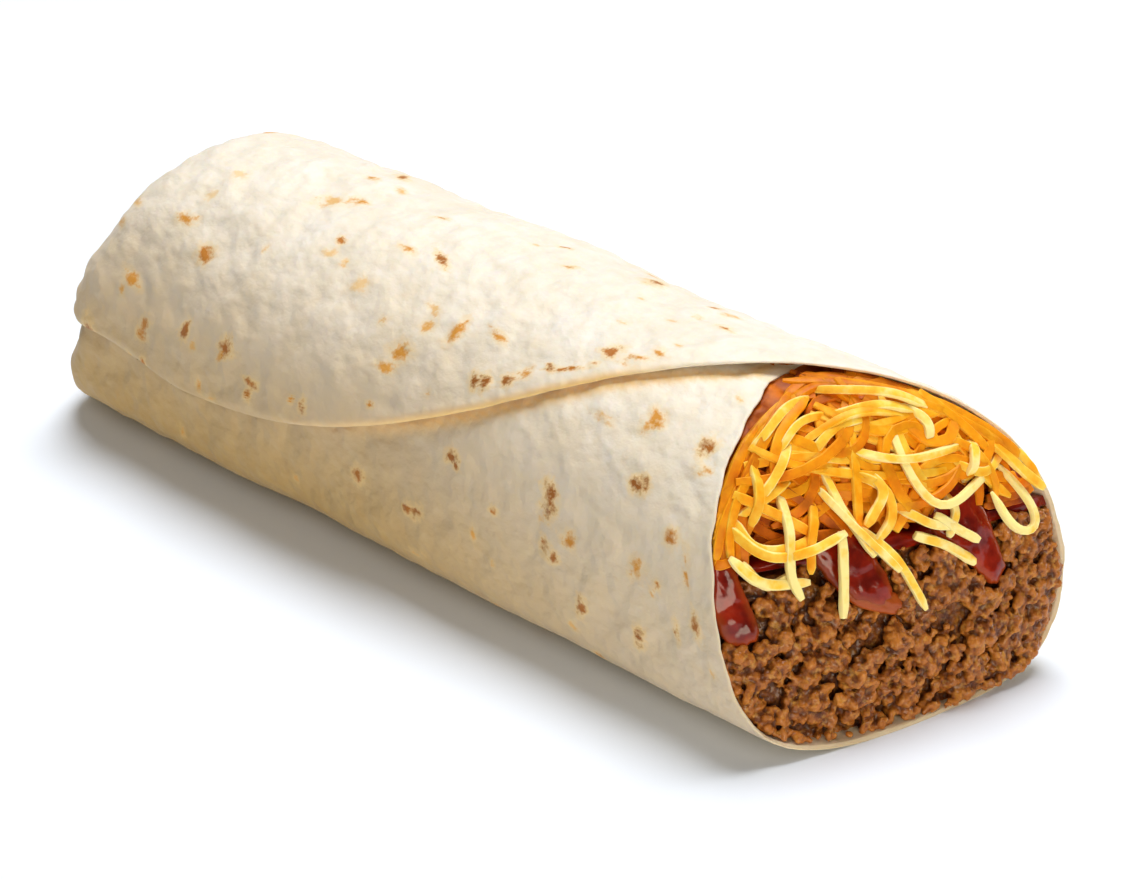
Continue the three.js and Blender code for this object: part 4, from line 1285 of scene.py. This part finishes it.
def add_shred(places, rise, tint, width=1.0, twist=0.0, shred=PLAIN_SHRED):
    """A copy of the straight shred, bent over the face. Rise is its height at start, middle and end."""
    strip_points, strip_faces = shred
    flat = smooth_curve(places, CURVE_POINTS)
    along = np.linspace(0, 1, CURVE_POINTS)
    height = np.interp(along, np.linspace(0, 1, len(rise)), rise)
    wobble = 0.3 * noise_along(along * 6, 1.0, int(shred_random.integers(99)))
    path, facing = on_face(flat[:, 0], flat[:, 1], height + wobble)
    for _ in range(4):
        path[1:-1] = (path[:-2] + 2 * path[1:-1] + path[2:]) / 4
        facing[1:-1] = (facing[:-2] + 2 * facing[1:-1] + facing[2:]) / 4
    facing /= np.linalg.norm(facing, axis=1, keepdims=True)
    ahead = np.gradient(path, axis=0)
    ahead /= np.linalg.norm(ahead, axis=1, keepdims=True)
    across = np.cross(facing, ahead)
    across /= np.linalg.norm(across, axis=1, keepdims=True)
    thick = np.cross(ahead, across)
    roll = twist * (along - 0.5) + shred_random.uniform(-0.25, 0.25)
    side = across * np.cos(roll)[:, None] + thick * np.sin(roll)[:, None]
    thick = thick * np.cos(roll)[:, None] - across * np.sin(roll)[:, None]
    at = strip_points[:, 0] * (CURVE_POINTS - 1)
    ring = np.round(at).astype(int)
    from_end = np.round(np.minimum(at, CURVE_POINTS - 1 - at)).astype(int)
    blunt = shred_random.uniform(0.35, 0.8)
    taper = np.array([blunt, 0.5 + 0.5 * blunt, 0.96, 1.0])[np.minimum(from_end, 3)]
    vary = 1 + 0.1 * noise_along(ring * 0.3, 1.0, int(shred_random.integers(99)))
    w = strip_points[:, 1] * width * taper * vary
    h = strip_points[:, 2] * taper * vary
    points = path[ring] + side[ring] * w[:, None] + thick[ring] * h[:, None]
    base = sum(len(v) for v in shred_vertices)
    shred_vertices.append(points)
    shred_faces.extend(tuple(base + i for i in f) for f in strip_faces)
    # Paler long edges and ends: partly thin cheese that lets light through, partly a painted highlight.
    pale_edge_highlight = np.abs(strip_points[:, 1]) > SHRED_WIDTH / 2 - 0.12
    shred_tints.append(tint + 0.22 * pale_edge_highlight + 0.1 * (from_end < 2))


# %% Shreds that lie underneath
STEP_ALONG = 2.6


def in_cheese(y, z):
    """Whether a place on the face lies in the cheese and beside the two runs on the far side."""
    over_run = max(inside_by(y, z, run_outlines[2]), inside_by(y, z, run_outlines[3])) > 0.8
    return room(y, z) > 0.7 and z > beef_level(y) + 3.4 and not over_run


def strewn(count, low, high, rise, tints, seed):
    """Short curved shreds strewn over the heap, each kept inside the mouth."""
    random = np.random.default_rng(seed)
    made = 0
    while made < count:
        y, z = random.uniform(-27, 27), random.uniform(low, high)
        heading, bend = random.uniform(0, 2 * math.pi), random.normal(0, 0.2)
        places = []
        for _ in range(int(random.integers(6, 12))):
            if not in_cheese(y, z):
                break
            places.append((y, z))
            y += STEP_ALONG * math.cos(heading)
            z += STEP_ALONG * math.sin(heading)
            heading += 1.3 * bend
        if len(places) < 5:
            continue
        made += 1
        lift = random.uniform(*rise)
        heights = [lift - 0.6, lift, lift - 0.5]
        add_shred(places, heights, random.uniform(*tints), random.uniform(0.66, 0.95))


def along_wall(count, insets, lifts, tints, seed):
    """Shreds that follow the inner wall, so the heap reaches it all the way round."""
    random = np.random.default_rng(seed)
    across, up = mouth_wall.T
    high = (up > beef_level(across) + 4) & ((across > 0) | (up < 42))
    for _ in range(count):
        first = int(random.choice(np.nonzero(high)[0]))
        inset = random.uniform(*insets)
        slant = random.uniform(-0.3, 0.5)
        picks = [(first + 3 * i) % len(mouth_wall) for i in range(int(random.integers(6, 13)))]
        picks = [i for i in picks if high[i]]
        inward = [(inset + slant * n) / wall_steep[i] for n, i in enumerate(picks)]
        places = [mouth_wall[i] - wall_out[i] * gone for i, gone in zip(picks, inward)]
        places = [q for q in places if room(*q) > 0.9]
        if len(places) > 3:
            lift = random.uniform(*lifts)
            heights = [lift - 0.4, lift, lift - 0.4]
            add_shred(places, heights, random.uniform(*tints), random.uniform(0.7, 0.95))


# %% Strew them, from the deepest to those on top
# Strewn: how many, lowest and highest place, lift, tint and seed.
# Along the wall: how many, inset, lift, tint and seed.
# Deeper layers get darker tints: painted shade down among the shreds.
strewn(70, 28, 48.3, (-1.1, -0.5), (-0.4, -0.12), 41)
along_wall(60, (1.0, 4.5), (-0.9, -0.2), (-0.35, -0.05), 44)
strewn(58, 29, 48.3, (0.0, 0.7), (-0.15, 0.35), 42)
along_wall(44, (1.0, 4.0), (-0.1, 0.5), (-0.15, 0.15), 43)
strewn(34, 31, 48, (0.9, 1.9), (0.15, 0.65), 45)
print("shreds underneath:", len(shred_vertices))

# %% Shreds that show in the picture
# Places across and up the face, from one end to the other, with a tint from deep orange to pale.
TOP_SHREDS = [
    ([(8.6, 46.5), (5.3, 38), (7.7, 31.7), (14.8, 33.2), (21, 35)], 0.95),
    ([(10.5, 44.5), (12, 42), (10.5, 39)], 0.9),
    ([(-5.8, 40), (-5.8, 34.5), (-3.6, 27.5)], 0.8),
    ([(-7.5, 31.8), (-9.6, 25), (-11, 20.3)], 0.85),
    ([(-4.5, 32), (-0.8, 26.5), (1.8, 18.5)], 0.7),
    ([(3.2, 29), (7.5, 26.6), (11.5, 23)], 0.8),
    ([(-13, 38), (-14.5, 33), (-16.5, 27.5), (-16, 24)], 0.85),
    ([(-20.5, 36), (-19.5, 31.5), (-13, 31), (-10, 32.5)], 0.6),
    ([(-22, 30), (-20, 26.5), (-15.8, 27.3)], 0.8),
    ([(16.7, 31.8), (19, 26), (22.6, 25), (23.2, 28), (20.8, 35)], 0.85),
    ([(-1, 45), (7, 44.6), (14, 42.6)], 0.6),
    ([(-7.5, 40.8), (-1, 43.6), (8, 43.8)], 0.6),
    ([(-3, 42.4), (5, 38.6), (17.5, 38.5)], 0.7),
    ([(-8, 43.4), (-11.8, 40.5), (-18, 36.5)], 0.7),
    ([(0, 45.4), (-6, 44.6), (-12, 41.5)], 0.6),
    ([(0, 38.8), (0.5, 35.5), (-3.8, 31.8)], 0.6),
    ([(2.2, 33.2), (6, 30), (10, 28.9)], 0.8),
    ([(10.5, 33.5), (10.5, 30.5), (8.3, 27.5)], 0.8),
    ([(14.5, 34), (16.5, 37), (18.2, 38.6)], 0.75),
    ([(7, 31), (10, 28.2), (12.8, 26)], 0.8),
    ([(-14, 43), (-6.5, 46), (-0.5, 47)], 0.6),
    ([(1, 47.5), (5, 46.3), (10, 45), (15.5, 43)], 0.65),
    ([(-14.5, 42), (-16.5, 37.5), (-18.5, 34.5)], 0.5),
    ([(-11, 39), (-19.5, 36)], 0.5),
    ([(-22, 35.5), (-19, 30.5), (-13, 30), (-7, 31.5)], 0.6),
    ([(-23.5, 31), (-20.5, 27), (-14, 26)], 0.8),
    ([(-4.5, 40), (1.2, 36), (0.8, 32), (-2.5, 29.5)], 0.6),
    ([(-7.5, 38), (-6, 33), (-1, 25)], 0.75),
    ([(-6.5, 43), (1.5, 44.4), (8, 43.8), (13, 42)], 0.5),
    ([(12, 38), (17, 34.5), (22.5, 36)], 0.6),
    ([(21, 38), (22.5, 34), (26, 30)], 0.5),
    ([(-9, 36), (-12, 31), (-13.5, 27)], 0.4),
]

# %% Shreds that show along the wall
# Places, tint and lift.
WALL_SHREDS = [
    # Shreds under the flap and deep in the heap get low tints: painted shade.
    ([(-1, 48.2), (5, 47.4), (11, 45.4), (17, 42)], 0.1, 0.9),
    ([(6, 47), (12, 44.8), (18, 41.2), (22, 37.5)], 0.25, 1.2),
    ([(14, 43.8), (19.5, 40), (23.8, 35.5)], 0.3, 1.0),
    ([(24.8, 36), (26.2, 33), (26.8, 30)], 0.6, 0.9),
    ([(2, 47.6), (9, 46), (15, 43)], 0.4, 0.5),
    ([(20, 40), (23.5, 36.5), (26, 32)], 0.35, 0.6),
    ([(-2.5, 47.5), (-8, 45.6), (-13, 42.8), (-18, 39)], 0.05, 1.1),
    ([(-5, 46.8), (-10.5, 44.3), (-16, 40.4), (-20.5, 36.5)], 0.3, 0.8),
    ([(-17.5, 39.8), (-22.3, 35.2), (-25, 31)], 0.15, 0.9),
    ([(-20, 38), (-23.6, 34), (-25.8, 30)], 0.25, 0.5),
    ([(-14, 41.8), (-19, 38), (-22, 34), (-23, 31)], 0.35, 1.1),
    ([(-1.5, 46.8), (-7, 45), (-11, 42.4), (-13, 39)], 0.25, 1.3),
    ([(0, 47.4), (-5.5, 45.6), (-12, 43.4), (-17.5, 40.6)], 0.1, 0.4),
    ([(4, 47.9), (10, 46.3), (16, 43.6), (21, 39.8)], 0.3, 1.0),
    ([(12, 45.9), (17.5, 42.8), (22.5, 38.4), (25.5, 34.4)], 0.25, 0.9),
    ([(17.5, 30.7), (21, 30.2), (25.5, 29.8)], -0.1, 0.2),
    ([(18.5, 32), (22, 31.2), (26, 31.4)], 0.1, 0.5),
    ([(16.8, 29.8), (20, 29.4), (24, 29)], -0.2, 0.0),
    ([(-21, 31.4), (-24, 30.2), (-26.4, 30.6)], 0.0, 0.2),
    ([(0.5, 47.3), (-4, 46.9), (-8.5, 46), (-13, 44.3)], 0.0, 0.2),
    ([(-3, 46.9), (-8, 46.1), (-13, 44.2), (-16.5, 42)], 0.2, 0.35),
    ([(-9, 45.9), (-14, 43.7), (-18.5, 40.3), (-22, 36.4)], 0.05, 0.2),
    ([(-15, 43.1), (-19.5, 39.3), (-23.3, 34.6)], 0.25, 0.3),
    ([(-5.5, 46.3), (-10, 45), (-14.5, 42.8)], 0.3, 0.5),
    ([(-3, 47.5), (1.5, 48), (6, 47.9), (11, 46.6)], 0.05, 0.3),
    ([(2, 48.2), (7, 47.8), (12, 46.3), (17, 43.6)], 0.2, 0.1),
    ([(-1, 47.2), (-6, 46.6), (-11, 45.1)], 0.35, 0.6),
    ([(-11, 45.2), (-16, 42.4), (-20.5, 38.3)], 0.15, 0.5),
    ([(-3, 47.1), (2, 47.5), (7, 47.1)], 0.1, 0.7),
    ([(-18, 39.4), (-21.5, 35.6), (-24, 31.8)], 0.1, -0.3),
]

# %% Lay the shreds that show
TOP_LIFTS = [2.7, 2.1, 1.6]
HEAP_FROM = BEEF_TOP + 5.3
for places, tint, lift in WALL_SHREDS:
    heights = [lift - 0.5, lift, lift - 0.3]
    add_shred(places, heights, tint, shred_random.uniform(0.7, 0.92), 0.0, FINE_SHRED)
for k, (places, tint) in enumerate(TOP_SHREDS):
    lift = TOP_LIFTS[k % 3]
    first, last = [0.2 if z > HEAP_FROM else max(lift, 1.6) for _, z in (places[0], places[-1])]
    width = shred_random.uniform(0.64, 0.84)
    twist = shred_random.uniform(-1.6, 1.6)
    add_shred(places, [first, lift, lift, last], tint + 0.1, width, twist, FINE_SHRED)

# %% Finish the cheese
shreds = new_mesh("shreds", np.concatenate(shred_vertices), shred_faces)
keep_values(shreds, "tint", np.concatenate(shred_tints))
# The core's deep orange tint is painted shade between the shreds.
keep_values(cheese_core, "tint", np.full(len(cheese_core.data.vertices), -0.2))
shredded_cheese = joined(cheese_core, shreds)
push_inside(shredded_cheese, 0.15, 1.4)
bpy.ops.object.shade_smooth()
bpy.ops.object.shade_smooth_by_angle(angle=math.radians(32))
print("shreds:", len(shred_vertices), "; cheese:", len(shredded_cheese.data.polygons), "faces")


# %% [markdown]
# ## Materials
# Every material is a small tree of nodes. A helper makes the usual start, and another adds and
# wires a node in one line, so that each cell below reads as a recipe. All noise lies on the
# piece's own coordinates, so it stays put when the piece moves.

# %% Material helpers
def new_material(name, roughness, specular):
    """A material with the usual shader, and that shader."""
    made = bpy.data.materials.new(name)
    made.use_nodes = True
    shader = made.node_tree.nodes["Principled BSDF"]
    shader.inputs["Roughness"].default_value = roughness
    shader.inputs["Specular IOR Level"].default_value = specular
    return made, shader


def wire(material, value, socket):
    """Wires a node's output into a socket, or sets the socket to a plain value."""
    if isinstance(value, bpy.types.NodeSocket):
        material.node_tree.links.new(value, socket)
    else:
        socket.default_value = value


def node(material, kind, settings=(), **inputs):
    """Adds a node. Inputs are numbers, colours or another node's output socket."""
    made = material.node_tree.nodes.new(kind)
    for key, value in dict(settings).items():
        setattr(made, key, value)
    for key, value in inputs.items():
        wire(material, value, made.inputs[key])
    return made


def set_plain(shader, **values):
    """Sets plain values straight on a shader's sockets."""
    for key, value in values.items():
        shader.inputs[key.replace("_", " ")].default_value = value


def cover(made, material):
    """Gives an object this material alone."""
    made.data.materials.clear()
    made.data.materials.append(material)


# %% Nodes for colours
def colour(text):
    """A colour written as on the web, as the linear numbers that a shader wants."""
    parts = [int(text[i : i + 2], 16) / 255 for i in (1, 3, 5)]
    return (*[p / 12.92 if p < 0.04045 else ((p + 0.055) / 1.055) ** 2.4 for p in parts], 1.0)


def ramp(material, value, *stops):
    """Turns a value into a colour by way of stops."""
    made = node(material, "ShaderNodeValToRGB", Fac=value)
    elements = made.color_ramp.elements
    while len(elements) < len(stops):
        elements.new(0.5)
    for element, (at, shade) in zip(elements, stops):
        element.position = at
        element.color = colour(shade)
    return made.outputs["Color"]


def speckle(material, scale, detail=3.0, roughness=0.55):
    """Noise that stays with the piece. Scale counts bumps in a metre."""
    where = node(material, "ShaderNodeTexCoord").outputs["Object"]
    numbers = {"Scale": scale, "Detail": detail, "Roughness": roughness}
    made = node(material, "ShaderNodeTexNoise", Vector=where, **numbers)
    return made.outputs["Fac"]


def blend(material, share, first, second):
    """Mixes two colours. The node's colour sockets are those numbered 6 and 7."""
    made = node(material, "ShaderNodeMix", {"data_type": "RGBA"})
    for number, value in ((0, share), (6, first), (7, second)):
        wire(material, value, made.inputs[number])
    return made.outputs[2]


# %% Nodes for numbers and relief
def figure(material, kind, *values):
    """Works a number out from two others."""
    made = node(material, "ShaderNodeMath", {"operation": kind})
    for socket, value in zip(made.inputs, values):
        wire(material, value, socket)
    return made.outputs[0]


def stretch(material, value, low, high, to_low=0.0, to_high=1.0):
    """Moves a value from one range to another, and keeps it in there."""
    made = node(material, "ShaderNodeMapRange", Value=value)
    for socket, number in zip(list(made.inputs)[1:5], (low, high, to_low, to_high)):
        socket.default_value = number
    return made.outputs[0]


def stored(material, name):
    """Reads an attribute that the vertices store."""
    return node(material, "ShaderNodeAttribute", {"attribute_name": name}).outputs["Fac"]


def bump(material, shader, height, distance, strength):
    """Fine relief in the shading alone."""
    made = node(material, "ShaderNodeBump", Height=height, Distance=distance, Strength=strength)
    wire(material, made.outputs["Normal"], shader.inputs["Normal"])


# %% Toasted flour
flour, shader = new_material("toasted_flour", 0.62, 0.3)
cloudy = ramp(flour, speckle(flour, 90, 4), (0.3, "#EFE8D9"), (0.5, "#F4EEE1"), (0.7, "#F8F4EB"))
fine = stretch(flour, speckle(flour, 380, 4), 0.38, 0.66)
# Painted shade: a stored value darkens and yellows the sheet low down and in a line beside the lip.
low_shade_tone = blend(flour, stored(flour, "low_shade"), cloudy, colour("#BE964C"))
floury = blend(flour, figure(flour, "MULTIPLY", fine, 0.18), low_shade_tone, colour("#E0C894"))
# Painted golden glow and shade along the flap's lip and beside it.
base = blend(flour, stored(flour, "lip"), floury, colour("#F1C988"))
ragged = stretch(flour, speckle(flour, 620, 3, 0.6), 0.28, 0.72, -0.5, 0.5)
broken = stretch(flour, speckle(flour, 2200, 2), 0.3, 0.7, -0.12, 0.12)
deep = figure(flour, "ADD", figure(flour, "ADD", stored(flour, "toast"), ragged), broken)
dark = stored(flour, "toast_dark")
near_spot = stretch(flour, deep, -0.7, 0.2)
halo = figure(flour, "MULTIPLY", near_spot, figure(flour, "MULTIPLY", dark, 0.75))
golden = blend(flour, halo, base, colour("#F0CC86"))
crust_stops = ((0.2, "#EBBE6C"), (0.55, "#DB9A3C"), (0.8, "#BC7424"), (1.0, "#945414"))
crust_tone = ramp(flour, dark, *crust_stops)
in_spot = stretch(flour, deep, 0.0, 0.6)
crust = figure(flour, "MULTIPLY", in_spot, stretch(flour, dark, 0.1, 0.6, 0.45, 1.0))
wire(flour, blend(flour, crust, golden, crust_tone), shader.inputs["Base Color"])
set_plain(shader, Subsurface_Weight=0.3, Subsurface_Radius=(1.0, 0.7, 0.35), Subsurface_Scale=0.0014)
set_plain(shader, Sheen_Weight=0.105, Sheen_Roughness=0.5)
fine_pores = figure(flour, "MULTIPLY", speckle(flour, 900, 2), 0.2)
pores = figure(flour, "ADD", speckle(flour, 300, 1), fine_pores)
bump(flour, shader, pores, 0.0009, 0.8)
cover(tortilla, flour)
print("tortilla material:", len(flour.node_tree.nodes), "nodes")

# %% Browned beef
browned, shader = new_material("browned_beef", 0.42, 0.16)
brown_stops = ((0.3, "#582808"), (0.42, "#7C3E0E"), (0.52, "#9C5618"), (0.62, "#B26A20"), (0.75, "#CE8C36"))
tone = ramp(browned, speckle(browned, 330, 4, 0.6), *brown_stops)
light_grain = stretch(browned, speckle(browned, 1000, 2), 0.52, 0.7, 0, 0.7)
golden_grain = blend(browned, light_grain, tone, colour("#DEA24A"))
dark_grain = stretch(browned, speckle(browned, 1900, 3), 0.4, 0.7, 0, 0.3)
grain = blend(browned, dark_grain, golden_grain, colour("#5A330C"))
# Painted shade in the hollows between grains and painted light on their tops, from how far each place
# stands out.
hollow = stretch(browned, stored(browned, "top"), -0.8, 0.15, 0.85, 0.0)
darker = blend(browned, hollow, grain, colour("#451F08"))
top_light = stretch(browned, stored(browned, "top"), 0.1, 1.0, 0.0, 0.55)
lighter = blend(browned, top_light, darker, colour("#C87A2C"))
# Painted shade deep behind the face.
deep_shade = stretch(browned, stored(browned, "rise"), -2.4, -0.6, 0.5, 0.0)
wire(browned, blend(browned, deep_shade, lighter, colour("#45230A")), shader.inputs["Base Color"])
fatty = stretch(browned, speckle(browned, 700, 3), 0.35, 0.65, 0.28, 0.6)
wire(browned, fatty, shader.inputs["Roughness"])
set_plain(shader, Coat_Weight=0.36, Coat_Roughness=0.05)
bump(browned, shader, speckle(browned, 2200, 4), 0.00028, 0.9)
cover(ground_beef, browned)
print("beef material:", len(browned.node_tree.nodes), "nodes")

# %% Glossy sauce
glossy, shader = new_material("glossy_sauce", 0.14, 0.24)
red_stops = ((0.35, "#641006"), (0.6, "#90200C"), (0.8, "#AC3212"))
deep_red = ramp(glossy, speckle(glossy, 260, 3), *red_stops)
thin = stretch(glossy, stored(glossy, "film"), 0, 2, 0, 0.9)
thin_red = blend(glossy, thin, deep_red, colour("#A8501C"))
wire(glossy, thin_red, shader.inputs["Base Color"])
set_plain(shader, Subsurface_Weight=0.25, Subsurface_Radius=(1.0, 0.25, 0.12), Subsurface_Scale=0.0015)
set_plain(shader, Coat_Weight=0.16, Coat_Roughness=0.05)
bump(glossy, shader, speckle(glossy, 420, 2), 0.0002, 0.5)
cover(red_sauce, glossy)
print("sauce material:", len(glossy.node_tree.nodes), "nodes")

# %% Cheddar
cheddar, shader = new_material("grated_cheddar", 0.45, 0.15)
mottled = stretch(cheddar, speckle(cheddar, 300, 3), 0.3, 0.7, -0.22, 0.22)
# The stored tint holds each shred's own tone of orange. It also holds painted shade on deep shreds and the
# core, and a painted highlight on edges and ends.
tint = figure(cheddar, "ADD", stored(cheddar, "tint"), mottled)
orange_stops = ((0.0, "#8E3A06"), (0.3, "#D87408"), (0.62, "#F6A214"), (0.85, "#FFCC46"), (1.0, "#FFE898"))
orange = ramp(cheddar, stretch(cheddar, tint, -0.4, 1.0), *orange_stops)
wire(cheddar, orange, shader.inputs["Base Color"])
set_plain(shader, Subsurface_Weight=0.2, Subsurface_Radius=(1.0, 0.6, 0.15), Subsurface_Scale=0.0012)
bump(cheddar, shader, speckle(cheddar, 1100, 4), 0.0001, 0.6)
cover(shredded_cheese, cheddar)
print("cheese material:", len(cheddar.node_tree.nodes), "nodes")

# %% [markdown]
# ## Table and light
# The picture is shot on plain white under a big soft light high above and a little behind, so a
# short soft shadow falls towards the viewer. A large area light does that. Three weak ones help it:
# one above the near side, a low warm one in front of the mouth and a small one behind that marks
# the far edge. A warm white world fills the shade.

# %% Table
bpy.ops.mesh.primitive_plane_add(size=8.0, location=(0, 0, 0))
table = bpy.context.object
table.name = "table"
table_white, shader = new_material("table_white", 0.9, 0.1)
shader.inputs["Base Color"].default_value = (0.86, 0.91, 0.98, 1)
cover(table, table_white)


# %% Lights
LIGHTS_AIM = Vector((0, 0, 0.02))


def soft_light(name, place_at, size, power, tone=(1, 1, 1)):
    """A round area light that looks at the burrito."""
    bpy.ops.object.light_add(type="AREA", location=place_at)
    made = bpy.context.object
    made.name = name
    made.data.shape = "DISK"
    made.data.size = size
    made.data.energy = power
    made.data.color = tone
    made.rotation_euler = (Vector(place_at) - LIGHTS_AIM).to_track_quat("Z", "Y").to_euler()
    print("light:", name, power, "W")


soft_light("key", (-0.14, 0.34, 1.25), 0.85, 19.0, (0.98, 0.985, 1.0))
soft_light("near_fill", (0.2, -0.6, 0.8), 0.6, 0.95)
soft_light("front_fill", (0.55, -0.24, 0.1), 0.3, 1.6, (1.0, 0.91, 0.74))
soft_light("edge_light", (0.45, 0.9, 0.12), 0.2, 1.3)

# %% World
world = bpy.context.scene.world or bpy.data.worlds.new("studio")
bpy.context.scene.world = world
world.use_nodes = True
world.node_tree.nodes["Background"].inputs["Color"].default_value = (1, 0.96, 0.9, 1)
world.node_tree.nodes["Background"].inputs["Strength"].default_value = 0.12
bpy.context.scene.view_settings.view_transform = "Standard"

# %% [markdown]
# ## The pieces in place of the solids
# Each finished piece stands for one solid, whose plain part is hidden, and moves with the object's
# one body.

# %% Say what stands for what
for made, node_name in (
    (tortilla, "tortilla"),
    (ground_beef, "ground_beef"),
    (red_sauce, "red_sauce"),
    (shredded_cheese, "shredded_cheese"),
):
    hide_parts(node_name)
    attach(made, "root")
